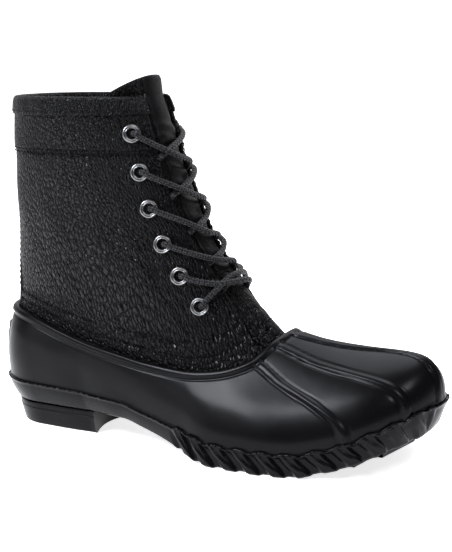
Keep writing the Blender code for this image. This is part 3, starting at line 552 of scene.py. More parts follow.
SHELL_RUBBER = rubber("shell_rubber", (0.0045, 0.0045, 0.0052), 0.32, 0.20)
SOLE_RUBBER = rubber("sole_rubber", (0.0045, 0.0045, 0.0052), 0.27, 0.35)
PEBBLED = leather("pebbled_leather", (0.0025, 0.0025, 0.0030), 0.28, 1.0)
SMALL_PEBBLED = leather("small_pebbled_leather", (0.0030, 0.0030, 0.0036), 0.32, 0.8, 0.7)
SMOOTH = leather("smooth_leather", (0.0030, 0.0030, 0.0034), 0.36, 0.16, 0.35)
LINING = woven("lining", (0.010, 0.010, 0.010), 900.0, 0.5)
LACE = braid("braided_lace", (0.0080, 0.0080, 0.0085))
THREAD, _ = shader("thread", (0.0025, 0.0025, 0.003), 0.6)
# Painted shade: a near-black material for the discs that fill the eyelet holes.
SHADE, _ = shader("painted_hole_shade", (0.002, 0.002, 0.002), 0.8)
NICKEL, _ = shader("nickel", (0.27, 0.27, 0.27), 0.30, metallic=1.0)


# Meshes
STITCH_LENGTH, STITCH_GAP, STITCH_START, STITCH_SINK = 0.0026, 0.0011, 0.0005, 0.00002
STITCH_STEPS, STITCH_SIDES = 7, 6
SHAFT_UV = np.array([0.35, 0.145])
SHELL_UV = np.array([0.70, 0.09])


def shell_uv(ring, height):
    return np.stack([ring, height], -1) * SHELL_UV


def shaft_uv(ring, height):
    """About one unit to the metre along and up the leather."""
    return np.stack([ring, height], -1) * SHAFT_UV


def mesh_object(name, points, quads, material, uv=None, flat=False):
    """A mesh from arrays of points and quads, moved to the row's frame, riding on the boot."""
    points = np.asarray(points, float).reshape(-1, 3) + SHIFT
    quads = np.asarray(quads, np.int32)
    mesh = bpy.data.meshes.new(name)
    mesh.vertices.add(len(points))
    mesh.vertices.foreach_set("co", points.ravel())
    mesh.loops.add(quads.size)
    mesh.loops.foreach_set("vertex_index", quads.ravel())
    mesh.polygons.add(len(quads))
    starts = np.arange(0, quads.size, quads.shape[1], dtype=np.int32)
    mesh.polygons.foreach_set("loop_start", starts)
    mesh.polygons.foreach_set("use_smooth", np.full(len(quads), not flat))
    if uv is not None:
        layer = mesh.uv_layers.new(name="UVMap")
        layer.data.foreach_set("uv", np.asarray(uv, float).reshape(-1, 2)[quads.ravel()].ravel())
    mesh.update(calc_edges=True)
    mesh.validate()
    mesh.materials.append(material)
    obj = bpy.data.objects.new(name, mesh)
    bpy.context.scene.collection.objects.link(obj)
    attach(obj, "root")
    return obj


def grid_quads(rows, columns, closed=False, base=0, turned=False):
    """Quads over a grid of points; closed joins its last column to the first."""
    wide = columns if closed else columns - 1
    row, column = np.meshgrid(np.arange(rows - 1) * columns, np.arange(wide), indexing="ij")
    after = (column + 1) % columns
    corners = [row + column, row + after, row + columns + after, row + columns + column]
    quads = np.stack(corners, -1).reshape(-1, 4) + base
    return quads[:, ::-1] if turned else quads


def slab(name, outer, inner, material, uv, second=None):
    """A wall between two grids of points with its edges closed; second paints the inner side."""
    rows, columns = outer.shape[:2]
    back = rows * columns
    quads = [grid_quads(rows, columns), grid_quads(rows, columns, False, back, True)]
    index = np.arange(back).reshape(rows, columns)
    for rim in (index[0], index[-1][::-1], index[::-1, 0], index[:, -1]):
        quads.append(np.stack([rim[1:], rim[:-1], rim[:-1] + back, rim[1:] + back], -1))
    points = np.concatenate([outer.reshape(-1, 3), inner.reshape(-1, 3)])
    obj = mesh_object(name, points, np.concatenate(quads), material, np.tile(uv.reshape(-1, 2), (2, 1)))
    if second is not None:
        obj.data.materials.append(second)
        side = np.zeros(len(obj.data.polygons), np.int32)
        count = len(quads[0])
        side[count:2 * count] = 1
        obj.data.polygons.foreach_set("material_index", side)
    return obj


def spokes(turn, across, up):
    """Round each place of a path, the directions at these angles between across and up."""
    return np.cos(turn)[None, :, None] * across[:, None] + np.sin(turn)[None, :, None] * up[:, None]


def tube(name, path, radius, material, sides):
    """A round tube along a path, with u in metres along it and v once round it."""
    along = unit(np.gradient(path, axis=0))
    across = unit(np.cross(along, [0.0, 0.0, 1.0]))
    turn = np.linspace(0, 2 * math.pi, sides + 1)
    points = path[:, None] + radius * spokes(turn, across, np.cross(across, along))
    uv = np.stack(np.broadcast_arrays(length_along(path)[:, None], (turn / (2 * math.pi))[None]), -1)
    quads = grid_quads(len(path), sides + 1)
    return mesh_object(name, points, quads, material, uv)


def seam(name, ring, height, out, thick=0.00038):
    """A row of short rounded threads on the leather, each dipping at its ends into it."""
    path, normals = SHAFT.at(ring, height, out), SHAFT.normal(ring, height)
    run = length_along(path)
    part = np.linspace(0, 1, STITCH_STEPS)
    arch = np.sin(math.pi * part)
    turn = np.arange(STITCH_SIDES) * 2 * math.pi / STITCH_SIDES
    rise = ((arch**0.6 - 0.75) * thick * 1.1 - STITCH_SINK)[:, None]
    wide = (thick * (0.35 + 0.65 * arch**0.5))[:, None, None]
    points, quads = [], []
    for start in np.arange(STITCH_START, run[-1] - STITCH_LENGTH, STITCH_LENGTH + STITCH_GAP):
        where = start + part * STITCH_LENGTH
        up = unit(points_at(where, run, normals))
        line = points_at(where, run, path) + up * rise
        across = unit(np.cross(np.gradient(line, axis=0), up))
        quads.append(grid_quads(STITCH_STEPS, STITCH_SIDES, True, len(points) * STITCH_STEPS * STITCH_SIDES))
        points.append((line[:, None] + wide * spokes(turn, across, up)).reshape(-1, 3))
    return mesh_object(name, np.concatenate(points), np.concatenate(quads), THREAD)


def shell_depths(ring, rows):
    """Metres of shell wall between the rim and each of these heights."""
    height = np.linspace(1.0, 0.0, 121)
    points = SHELL.at(ring[None], height[:, None] * np.ones(len(ring))[None])
    steps = np.linalg.norm(np.diff(points, axis=0), axis=2)
    run = np.concatenate([np.zeros((1, len(ring))), np.cumsum(steps, 0)])
    return np.stack([np.interp(rows, height[::-1], run[::-1, column]) for column in range(len(ring))], 1)


# Rubber shell
RIDGES = (0.4335, 0.4610, 0.4950, 0.5390, 0.5665)
RIDGE_HALF, RIDGE_RISE, RIDGE_DITCH = 0.0025, 0.0010, 0.00055
RIM_BAND, RIM_ROLL, RIM_GROOVE = 0.0050, 0.0011, 0.0060
PLATE_HALF, PLATE_RISE, PLATE_PANEL = 0.0158, 0.0021, 0.0126


def ridge_centre(number, height):
    """Ring place of a ridge: the middle one wanders to the toe, the rest bend in at the rim."""
    if number == 2:
        return follow((0.0, 0.25, 0.6, 0.8, 1.0), (0.487, 0.490, 0.500, 0.493, 0.490), height)
    bend = 0.004 * smooth(height, 0.80, 1.0)
    return RIDGES[number] + (bend if number < 2 else -bend)


def shell_relief(ring, height, from_rim):
    """Height of the rolled rim, the ridges, the heel plate and the foot bead over the plain shell."""
    speed = SHELL.speed(ring, height)
    relief = np.zeros(ring.shape)
    for number in range(len(RIDGES)):
        distance = np.abs(ring - ridge_centre(number, height)) * speed
        fade = smooth(from_rim, 0.0032, 0.0070) * (0.4 + 0.6 * smooth(height, 0.0, 0.05))
        wide = RIDGE_HALF + 0.0006 * (1 - smooth(height, 0.0, 0.25))
        ridge = 1 - smooth(distance, wide - 0.0004, wide + 0.0004)
        crown = 0.00018 * np.cos(np.clip(distance / wide, 0, 1) * math.pi)
        ditch = bump_line(distance - wide - 0.0008, 0.0006) * RIDGE_DITCH
        lip = bump_line(distance - wide + 0.0004, 0.0005) * 0.00020
        relief += (ridge * (RIDGE_RISE + crown) - ditch + lip) * fade
    band = 1 - smooth(from_rim, RIM_BAND - 0.0014, RIM_BAND)
    roll = RIM_ROLL + 0.0005 * np.sin(np.clip(from_rim / 0.0045, 0, 1) * math.pi)
    apex = 1 - 0.80 * bump_line((ring % 1.0) - 0.5, 0.060)
    relief += band * roll * apex - 0.00035 * bump_line(from_rim - RIM_GROOVE, 0.0008)
    relief -= 0.0009 * (1 - smooth(from_rim, 0.0, 0.0012))
    aside = np.minimum(ring % 1.0, 1 - ring % 1.0) * speed
    plate = 1 - smooth(aside, PLATE_HALF - 0.0013, PLATE_HALF)
    plate = plate * smooth(height, 0.345, 0.375) * (1 - smooth(height, 0.69, 0.72))
    panel = 1 - smooth(aside, PLATE_PANEL - 0.0008, PLATE_PANEL)
    panel = panel * smooth(height, 0.395, 0.415) * (1 - smooth(height, 0.65, 0.67))
    relief += PLATE_RISE * plate - 0.0004 * panel
    relief += 0.00035 * bump_line(height - 0.012, 0.012)
    wave = 0.00016 * np.sin(ring * 60 + height * 9) * np.sin(ring * 34 - height * 5)
    return relief + wave * smooth(height, 0.05, 0.2) * smooth(from_rim, 0.004, 0.02)


def build_shell():
    """The shell's wall with its relief, its cloth lining and the lip between them."""
    ring = np.arange(840) / 840
    rows = joined((0.0, 0.06, 8), (0.06, 0.82, 58), (0.82, 1.0, 34))
    grid_ring, grid_height = np.meshgrid(ring, rows)
    relief = shell_relief(grid_ring, grid_height, shell_depths(ring, rows))
    outer = SHELL.at(grid_ring, grid_height, relief)
    quads = grid_quads(len(rows), len(ring), True)
    wall = mesh_object("shell_wall", outer, quads, SHELL_RUBBER, shell_uv(grid_ring, grid_height))
    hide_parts("rubber_shell")
    inner_ring, inner_height = np.meshgrid(np.arange(280) / 280, np.linspace(0.0, 1.0, 24))
    inner = SHELL.at(inner_ring, inner_height, -SHELL_WALL)
    quads = grid_quads(*inner_ring.shape, True, 0, True)
    mesh_object("shell_lining", inner, quads, LINING, shell_uv(inner_ring, inner_height))
    top = SHELL.at(ring, np.ones(len(ring)), relief[-1])
    inside = SHELL.at(ring, np.ones(len(ring)), -SHELL_WALL)
    lip = np.stack([top, (top + inside) / 2 + np.array([0, 0, 0.0005]), inside])
    mesh_object("shell_lip", lip, grid_quads(3, len(ring), True), SHELL_RUBBER)


# Leather shaft
CREASE_RISE = 0.14
BACKSTAY_SPREAD = 1.5
SEAM_LINE = ((0.343, 0.93), (0.330, 0.775), (0.318, 0.578), (0.312, 0.43), (0.318, 0.301),
             (0.337, 0.221), (0.351, 0.165), (0.365, 0.125))
CREASES = (
    (((0.332, 0.93), (0.328, 0.84)), 0.0022, 0.0005),
    (((0.352, 0.95), (0.350, 0.88)), 0.0018, 0.0004),
    (((0.372, 0.94), (0.366, 0.87)), 0.0016, 0.0003),
    (((0.300, 0.62), (0.285, 0.44), (0.292, 0.30)), 0.0060, 0.0006),
    (((0.345, 0.40), (0.330, 0.30), (0.335, 0.20)), 0.0045, 0.0006),
    (((0.375, 0.19), (0.352, 0.13), (0.330, 0.10)), 0.0040, 0.0005),
    (((0.420, 0.16), (0.405, 0.10), (0.395, 0.06)), 0.0030, 0.0005),
    (((0.430, 0.33), (0.410, 0.30), (0.398, 0.26)), 0.0028, 0.0004),
    (((0.200, 0.30), (0.225, 0.22), (0.262, 0.18)), 0.0070, 0.0005),
    (((0.140, 0.55), (0.165, 0.42), (0.170, 0.30)), 0.0080, 0.0005),
    (((0.662, 0.93), (0.668, 0.82)), 0.0022, 0.0005),
    (((0.700, 0.60), (0.712, 0.42), (0.705, 0.28)), 0.0060, 0.0006),
    (((0.640, 0.30), (0.652, 0.20), (0.668, 0.12)), 0.0045, 0.0006),
    (((0.800, 0.34), (0.775, 0.24), (0.740, 0.19)), 0.0070, 0.0005),
)


def crease(ring, height, line, width, depth):
    """A soft trough in the leather along a listed line of (ring, height) points."""
    fine = np.linspace(0, 1, 25)
    spots = along_line(line, fine)
    speed = float(SHAFT.speed(*spots.mean(0)))
    nearest = np.full(ring.shape, 1.0)
    fade = np.zeros(ring.shape)
    for number, spot in enumerate(spots):
        distance = np.hypot((ring - spot[0]) * speed, (height - spot[1]) * CREASE_RISE)
        closer = distance < nearest
        nearest = np.where(closer, distance, nearest)
        fade = np.where(closer, math.sin(math.pi * (0.04 + 0.92 * fine[number])) ** 0.7, fade)
    return -depth * fade * (bump_line(nearest, width) - 0.45 * bump_line(nearest - 1.7 * width, width * 0.8))


def along_line(line, fine):
    """Ring places and heights at these shares of a listed line."""
    line = np.array(line)
    knots = np.linspace(0, 1, len(line))
    return np.stack([np.interp(fine, knots, line[:, axis]) for axis in range(2)], -1)


def cuff_relief(height):
    """How far the padded cuff stands out at this height."""
    return CUFF_PAD * smooth(height, 0.745, 0.775) * (1 - smooth(height, 0.93, 1.0))


def shaft_relief(ring, height):
    """Cuff, seam furrows, creases and slow waves of the leather."""
    relief = cuff_relief(height)
    for row in CUFF_STITCHES:
        relief -= 0.00055 * bump_line((height - row) * SHAFT_RUN, 0.0009)
    for row in RIM_STITCHES:
        relief -= 0.00065 * bump_line((height - row) * SHAFT_RUN, 0.0010)
    relief += 0.0004 * smooth(height, 0.0, 0.02) * (1 - smooth(height, 0.112, 0.130))
    for line, width, depth in CREASES:
        relief += crease(ring, height, line, width, depth)
    for line in (SEAM_LINE, tuple((1 - share, tall) for share, tall in SEAM_LINE)):
        relief += crease(ring, height, line, 0.0012, 0.00030)
    relief += 0.00030 * np.sin(ring * 41 + height * 7) * np.sin(height * 17 - ring * 13)
    return relief


def build_shaft():
    """The leather with its cuff, seams and creases, lined with cloth, and its rows of stitches."""
    rows = joined((-0.05, 0.0, 4), (0.0, 0.15, 26), (0.15, 0.72, 60), (0.72, 0.80, 18), (0.80, 1.0, 28))
    part = np.linspace(0, 1, 330)
    eased = part + 0.35 * np.sin(4 * math.pi * part) / (4 * math.pi)
    edges = flap_value("edge", np.maximum(rows, 0.0))
    grid_ring = edges[:, None] * (2 * eased[None] - 1)
    grid_height = np.broadcast_to(rows[:, None], grid_ring.shape)
    relief = shaft_relief(grid_ring % 1.0, grid_height)
    near_edge = (edges[:, None] - np.abs(grid_ring)) * 0.35
    relief = relief - 0.0007 * (1 - smooth(near_edge, 0.0, 0.0016))
    outer = SHAFT.at(grid_ring, grid_height, relief)
    inner = SHAFT.at(grid_ring, grid_height, -LEATHER_WALL)
    wall = slab("shaft_leather", outer, inner, PEBBLED, shaft_uv(grid_ring, grid_height), second=LINING)
    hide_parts("shaft")
    around = np.linspace(-0.448, 0.448, 1500)
    for number, out in enumerate((0.00025, 0.00040)):
        seam("rim_stitch_" + str(number), around, np.full(1500, RIM_STITCHES[number]), out)
    for number, out in enumerate((0.00055, 0.00030)):
        seam("cuff_stitch_" + str(number), around * 0.975, np.full(1500, CUFF_STITCHES[number]), out)
    panel = along_line(SEAM_LINE, np.linspace(0, 1, 400))
    rise = np.linspace(0.12, 0.92, 600)
    flap = flap_value("edge", rise) - 0.0085
    for side, name in SIDE_NAMES.items():
        seam("panel_stitch_" + name, -side * panel[:, 0], panel[:, 1], -0.0001, thick=0.00026)
        seam("flap_stitch_" + name, -side * flap, rise, 0.0001 + cuff_relief(rise), thick=0.00030)


def backstay_half(height):
    """Half width of the backstay, which widens towards the rim."""
    return (0.5 + 0.5 * (1 - smooth(height, 0.0, 0.42))) * BACKSTAY_WIDTH / 2 * BACKSTAY_SPREAD


def build_backstay():
    """The strip over the back seam, with two rows of stitches on each side."""
    place, height = np.meshgrid(np.linspace(-1, 1, 33), np.linspace(0.0, 0.925, 150))
    ring = place * backstay_half(height) / SHAFT.speed(0.01, height)
    edge_drop = 1 - smooth(np.abs(place), 0.90, 1.0)
    outer = SHAFT.at(ring, height, cuff_relief(height) + TRIM_WALL * 0.75 * edge_drop + 0.0002)
    inner = SHAFT.at(ring, height)
    strip = slab("backstay_strip", outer, inner, PEBBLED, shaft_uv(ring, height) + np.array([0.6, 0.0]))
    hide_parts("backstay")
    rise = np.linspace(0.13, 0.91, 500)
    for side in (-1, 1):
        for inset in (0.0016, 0.0040):
            ring = side * (backstay_half(rise) - inset) / SHAFT.speed(0.01, rise)
            seam("backstay_stitch", ring, rise, cuff_relief(rise) + 0.00105, thick=0.00030)


def build_binding():
    """The folded strip over the collar, rolled at the top, with its stitch row."""
    low = 1 - BINDING_DEPTH / SHAFT_RUN
    share = np.linspace(-0.4495, 0.4495, 420)
    out, wall = 0.0013, LEATHER_WALL
    section = ((low, 0.0002), (low - 0.001, 0.0007), (low + 0.012, out), (0.985, out + 0.0004), (1.006, out),
               (1.016, 0.0002), (1.019, -wall / 2), (1.016, -wall - 0.0002), (1.006, -wall - out),
               (low + 0.02, -wall - out), (low + 0.01, -wall - 0.0003))
    fine = along_line(section, np.linspace(0, 1, 3 * len(section) - 2))
    points = []
    for height, depth in fine:
        pad = cuff_relief(np.minimum(height, 1.0)) if depth > 0 else 0.0
        ripple = 0.00010 * np.sin(share * 240) + 0.00008 * np.sin(share * 97)
        points.append(SHAFT.at(share, np.full(len(share), height), depth + pad + ripple * (depth > 0)))
    points = np.array(points)
    uv = shaft_uv(*np.meshgrid(share, fine[:, 0]))
    uv[..., 1] += np.arange(len(fine))[:, None] * 0.0008
    strip = mesh_object("binding_strip", points, grid_quads(len(fine), len(share)), PEBBLED, uv)
    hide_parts("collar_binding")
    rows = np.full(1500, low + 0.016)
    seam("binding_stitch", np.linspace(-0.447, 0.447, 1500), rows, 0.00125 + cuff_relief(rows), thick=0.00030)
    for side in (-1, 1):
        ends = points[:, 0 if side < 0 else -1]
        cap = np.stack([ends, np.broadcast_to(ends.mean(0), ends.shape)])
        quads = grid_quads(2, len(fine), False, 0, side > 0)
        mesh_object("binding_end", cap, quads, SMALL_PEBBLED, np.zeros((2 * len(fine), 2)))


# Tongue
TONGUE_TOP, TONGUE_CROWN, TONGUE_STAND, PANEL_HALF = 0.975, 0.0175, 0.0052, 0.0090


def tongue_top(place):
    """Height of the tongue's rounded top edge across it."""
    return TONGUE_TOP + TONGUE_CROWN / SHAFT_RUN * np.cos(place * math.pi / 2)


def tongue_inset(height):
    """Depth of the tongue's face under the leather: more under the binding, and its tip leans out."""
    under_binding = np.clip((height - 0.84) / 0.06, 0, 1) * (TRIM_WALL + SEAT_GAP * 2)
    inset = LEATHER_WALL + SEAT_GAP * 5 + under_binding
    return inset - TONGUE_TIP * np.clip((height - 1.02) / 0.12, 0, 1)


def tongue_bulge(place, height):
    """The tongue swells in the gap of the flaps, and its free top stands forward."""
    low = TONGUE_BULGE * np.clip(1 - (place / 0.5) ** 2, 0, None) * np.clip(height / 0.1, 0, 1)
    low = low * np.clip((1 - height) / 0.15, 0, 1)
    return low + TONGUE_STAND * np.clip(1 - (place / 0.34) ** 2, 0, None) * smooth(height, 0.72, 0.98)


def build_tongue():
    """The tongue in the throat, with the smooth panel along its middle."""
    place, part = np.meshgrid(np.linspace(-1, 1, 121), np.linspace(0, 1, 170))
    low = -0.04
    height = low + (tongue_top(place) - low) * part
    ring = 0.5 + place * TONGUE_HALF
    face = tongue_bulge(place, height) - tongue_inset(height)
    flat = (ring - 0.5) * SHAFT.speed(ring, height)
    panel = 0.0006 * (1 - smooth(np.abs(flat), PANEL_HALF - 0.0012, PANEL_HALF)) * smooth(height, 0.26, 0.30)
    furrow = -0.0004 * bump_line(np.abs(flat) - 0.0097, 0.0008)
    wrinkle = 0.00045 * np.sin(height * 95 + 1.5 * np.sin(flat * 160))
    wrinkle = wrinkle * (1 - smooth(np.abs(flat), 0.004, 0.016))
    wrinkle = wrinkle * smooth(height, 0.20, 0.35) * (1 - smooth(height, 0.85, 0.95))
    edge_roll = -0.0008 * smooth(part, 0.985, 1.0)
    for row in RIM_STITCHES:
        furrow = furrow - 0.00035 * bump_line((height - row) * SHAFT_RUN, 0.0009)
    outer = SHAFT.at(ring, height, face + panel + furrow + wrinkle + edge_roll)
    inner = SHAFT.at(ring, height, face - TONGUE_WALL)
    piece = slab("tongue_leather", outer, inner, PEBBLED, shaft_uv(ring - 0.5, height), second=LINING)
    piece.data.materials.append(SMOOTH)
    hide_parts("tongue")
    quads = grid_quads(*height.shape)
    middle, tall = (value.reshape(-1)[quads].mean(1) for value in (flat, height))
    index = np.zeros(len(piece.data.polygons), np.int32)
    piece.data.polygons.foreach_get("material_index", index)
    index[:len(quads)][(np.abs(middle) < PANEL_HALF) & (tall > 0.28)] = 2
    piece.data.polygons.foreach_set("material_index", index)
    rise = np.linspace(0.30, 1.12, 500)
    for side in (-1, 1):
        spot = 0.5 + side * (PANEL_HALF - 0.0009) / SHAFT.speed(0.5, rise)
        seam("tongue_stitch", spot, rise, 0.0007 - tongue_inset(rise), thick=0.00028)
    for row in RIM_STITCHES:
        rows = np.full(300, row)
        seam("tongue_foot_stitch", np.linspace(0.43, 0.57, 300), rows, 0.0006 - tongue_inset(rows))


# Eyelets and lace
def flap_frame(side, share, height, out=0.0):
    """A point on the leather of a flap, with its outward, level and upward directions."""
    ring = share if side == LATERAL else 1 - share
    point = SHAFT.at(ring, height, out + cuff_relief(height))
    normal = SHAFT.normal(ring, height)
    level = unit(np.cross([0.0, 0.0, 1.0], normal))
    return point, normal, level, np.cross(normal, level)


def build_eyelet(side, number):
    """A rolled metal ring seated in the leather, over a black disc of painted shade in its hole."""
    height = EYELET_HEIGHTS[number]
    middle, normal, level, upward = flap_frame(side, float(flap_value("eyelets", height)), height)
    hole, rim = EYELET_HOLE / 2, EYELET_OUTER / 2
    turn = np.linspace(math.pi, -0.15 * math.pi, 25)
    width = (rim - hole) / 2
    roll = [(hole + width * (1 + math.cos(angle)), 0.0002 + 0.0015 * max(math.sin(angle), 0.0) ** 0.8
             - 0.0007 * bump_line(math.cos(angle) + 0.15, 0.28)) for angle in turn]
    profile = [(hole + 0.0002, -LEATHER_WALL - 0.0006), (hole, -0.0010)] + roll + [(rim - 0.0003, -0.0001)]
    outward = spokes(np.arange(56) * 2 * math.pi / 56, level[None], upward[None])[0]
    points = np.array([middle + outward * radius + normal * rise for radius, rise in profile])
    name, place = SIDE_NAMES[side], str(number + 1)
    ring = mesh_object("eyelet_ring_" + name + place, points, grid_quads(len(profile), 56, True), NICKEL)
    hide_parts("eyelet_" + name + "_" + place)
    # Painted shade: a black disc just under the leather fills the hole and stands in for the shade inside it.
    disc = np.array([middle + outward * radius - normal * 0.0028 for radius in (hole + 0.0006, 0.0002)])
    mesh_object("eyelet_hole_shade", disc, grid_quads(2, 56, True), SHADE)


def lace_fall(side, droop, part):
    """The near strands fall almost to the next eyelet, the far ones about half as much."""
    return droop * ((1.40 * part - 0.45 * part**2) if side == LATERAL else (0.30 * part + 0.34 * part**2))


def out_of_eyelet(side, eye, height):
    """The lace's way from behind an eyelet, up through its hole and over towards the throat."""
    middle, normal, _, _ = flap_frame(side, eye, height)
    toward = unit(flap_frame(side, eye + 0.010, height)[0] - middle)
    ways = ((-0.0060, 0.0), (-0.0030, 0.0003), (0.0004, 0.0008), (0.0024, 0.0024))
    return [middle + normal * up + toward * over for up, over in ways]


def lace_path(side, number):
    """From under one eyelet, out over the flap edge and tongue, down under the other flap's edge."""
    start, end = EYELET_HEIGHTS[number], EYELET_HEIGHTS[max(number - 1, 0)]
    eye = float(flap_value("eyelets", start))
    last = float(flap_value("edge", end if number else start))
    half = LACE_DIAMETER / 2
    path = out_of_eyelet(side, eye, start)
    if number == 0:
        for part in np.linspace(0.07, 0.93, 24):
            ring = eye + (1 - 2 * eye) * part
            tall = start + 0.050 * math.sin(math.pi * part)
            gap = math.cos(min(abs(ring - 0.5) / (0.504 - last), 1.0) * math.pi / 2)
            path.append(SHAFT.at(ring, tall, half + 0.0006 + (0.0024 - tongue_inset(tall) * 0.85) * gap))
        return np.array(path + out_of_eyelet(MEDIAL, eye, start)[::-1])
    over = 0.0022 if side == LATERAL else 0.0
    droop = end - start
    for part in np.linspace(0.09, 1.0, 26):
        share = eye + (1 - last - 0.006 - eye) * part
        ring = share if side == LATERAL else 1 - share
        tall = start + lace_fall(side, droop, part)
        gap = math.cos(min(abs(share - 0.5) / (0.5 - last + 0.004), 1.0) * math.pi / 2)
        dip = tongue_inset(tall) - tongue_bulge(0.0, tall)
        lift = half + 0.0006 + (over + 0.0004 - dip * 0.95) * gap
        path.append(SHAFT.at(ring, tall, lift - (half + 0.0014) * smooth(part, 0.80, 1.0)))
    for more, depth, fall in ((0.004, -0.0018, 0.06), (0.009, -0.0028, 0.12), (0.015, -0.0034, 0.20)):
        share = 1 - last - 0.006 + more
        ring = share if side == LATERAL else 1 - share
        path.append(SHAFT.at(ring, start + lace_fall(side, droop, 1.0) + droop * fall * 0.5, depth))
    return np.array(path)


def smoothed(path, count):
    """The path resampled evenly through a rounded curve."""
    for _ in range(3):
        quarter = path[:-1] * 0.75 + path[1:] * 0.25
        three = path[:-1] * 0.25 + path[1:] * 0.75
        middle = np.stack([quarter, three], 1).reshape(-1, 3)
        path = np.concatenate([path[:1], middle, path[-1:]])
    run = length_along(path)
    return points_at(np.linspace(0, run[-1], count), run, path)


def build_laces():
    """The bar at the lowest eyelets, and two crossing strands from each pair above it."""
    for number in range(len(EYELET_HEIGHTS)):
        for side, mark in ((LATERAL, "a"), (MEDIAL, "b")):
            if number == 0 and side == MEDIAL:
                continue
            path = smoothed(lace_path(side, number), 110)
            lace = tube("lace_" + str(number) + mark, path, LACE_DIAMETER / 2, LACE, 14)
            if side == LATERAL:
                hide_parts("lace_bar" if number == 0 else "lace_cross_" + str(number))


# Outsole, heel and insole
LUG_RISE, LUG_SINK, LUG_SCALLOP = 0.0027, 0.0021, 0.0021
BREAST_HOLLOW = 0.006
TREAD_START, TREAD_END, TREAD_PITCH, PAD_PLACE = 0.565, 0.905, 0.0145, 0.66


def lug_shape(depth, share):
    """The slanting leaf lugs on the outsole's side: outward height and scallop of the top edge."""
    pitch = (1 - LUG_START) / LUG_COUNT
    inside = (share - LUG_START - 0.024 * depth + 0.010 * (1 - depth) ** 2) / pitch % 1.0
    leaf = smooth(inside, 0.02, 0.22) * (1 - smooth(inside, 0.62, 0.80))
    spine = bump_line(inside - (0.30 + 0.22 * depth), 0.06) * (1 - smooth(depth, 0.55, 0.9))
    second = bump_line(inside - (0.52 + 0.20 * depth), 0.05) * smooth(depth, 0.05, 0.3)
    here = smooth(share, LUG_START - 0.004, LUG_START + 0.018) * (1 - smooth(share, 0.955, 0.970))
    relief = (leaf * LUG_RISE - LUG_SINK + 0.0006 * spine - 0.0007 * second) * here
    relief -= smooth(share, 0.962, 0.972) * 0.0006
    return relief, LUG_SCALLOP * np.sin(inside * math.pi) ** 0.8 * here


def build_outsole():
    """The outsole's wall with its lugs and flash, and the shallow hollow of its underside."""
    share = joined((0.0, 0.47, 170), (0.47, 1.0, 560))
    values = np.concatenate([share, share[-2:0:-1]])
    count = len(values)
    halves = edge(LATERAL, share), edge(MEDIAL, share[-2:0:-1])
    line, out = (np.concatenate(pair) for pair in zip(*halves))
    flash = 0.00018 * np.sin(values * 410 + 2 * np.sin(values * 77)) * np.sin(values * 137)

    def ring_at(level, inset, rise):
        spot = line - np.asarray(inset)[..., None] * out
        bottom, top = sole_bottom(spot[:, 0]), sole_top(spot[:, 0])
        return np.column_stack([spot, bottom + (top - bottom) * level + rise])

    along = edge(LATERAL, values)[0][:, 0] / FOOT_LENGTH
    tuck = SOLE_THICKNESS * side_value("tuck", along)
    rows = [ring_at(1.0, 0.0030, 0.0009)]
    for level in joined((1.0, 0.86, 7), (0.86, 0.0, 22)):
        depth = 1 - level
        relief, top = lug_shape(depth, values)
        bead = 0.00055 * bump_line(depth - 0.05, 0.05) + flash * bump_line(depth - 0.02, 0.05)
        round_off = 0.0010 * smooth(depth, 0.88, 1.0) + 0.0007 * (1 - smooth(depth, 0.0, 0.03))
        inset = tuck * depth**1.4 - relief * smooth(depth, 0.02, 0.16) - bead + round_off
        rise = (top + 0.0003 + flash) * (1 - smooth(depth, 0.0, 0.35)) + 0.0003 * smooth(depth, 0.9, 1.0)
        rows.append(ring_at(level, inset, rise))
    rows.append(ring_at(0.0, tuck + 0.0065, 0.0004))
    forefoot = smooth(along, 0.53, 0.57) * (1 - smooth(along, 0.91, 0.95))
    rows.append(ring_at(0.0, tuck + 0.0072, 0.0026 * forefoot))
    quads = grid_quads(len(rows), count, True, 0, True)
    step = np.arange(1, count // 2 - 1)
    bottom = np.stack([step, step + 1, count - step - 1, count - step], -1) + (len(rows) - 1) * count
    quads = np.concatenate([quads, bottom[:, ::-1]])
    sole = mesh_object("outsole_body", rows, quads, SOLE_RUBBER, np.zeros((len(rows), count, 2)))
    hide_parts("outsole")


def side_at(side, x, inset):
    """How far out the sole's edge is at this place along the foot, drawn in by the inset."""
    line, out, _ = EDGES[side]
    return float(np.interp(x, line[:, 0], line[:, 1] - inset * out[:, 1]))


def build_tread():
    """Chevron bars under the forefoot and the flat pad under the ball."""
    first, last = TREAD_START * FOOT_LENGTH, TREAD_END * FOOT_LENGTH
    pad = int(round((PAD_PLACE * FOOT_LENGTH - first) / TREAD_PITCH))
    across = np.linspace(0, 1, 41)
    points, quads = [], []
    for bar in range(int((last - first) / TREAD_PITCH) + 1):
        if abs(bar - pad) == 1:
            continue
        middle = first + bar * TREAD_PITCH
        length, bend = (0.020, 0.0) if bar == pad else (0.0065, 0.007)
        near, far = (side_at(side, middle, SOLE_THICKNESS * 0.1 + 0.0055) for side in (LATERAL, MEDIAL))
        y = near + (far - near) * across
        x = middle + bend * (1 - np.abs(2 * across - 1))
        low = float(sole_bottom(middle))
        section = ((-0.5, 0.0034), (-0.5, 0.0006), (-0.44, 0.0), (0.44, 0.0), (0.5, 0.0006), (0.5, 0.0034))
        grid = np.array([np.stack([x + length * place, y, np.full(41, low + rise)], -1)
                         for place, rise in section])
        quads.append(grid_quads(len(section), 41, False, sum(len(group) for group in points)))
        points.append(grid.reshape(-1, 3))
    mesh_object("tread_bars", np.concatenate(points), np.concatenate(quads), SOLE_RUBBER, flat=True)


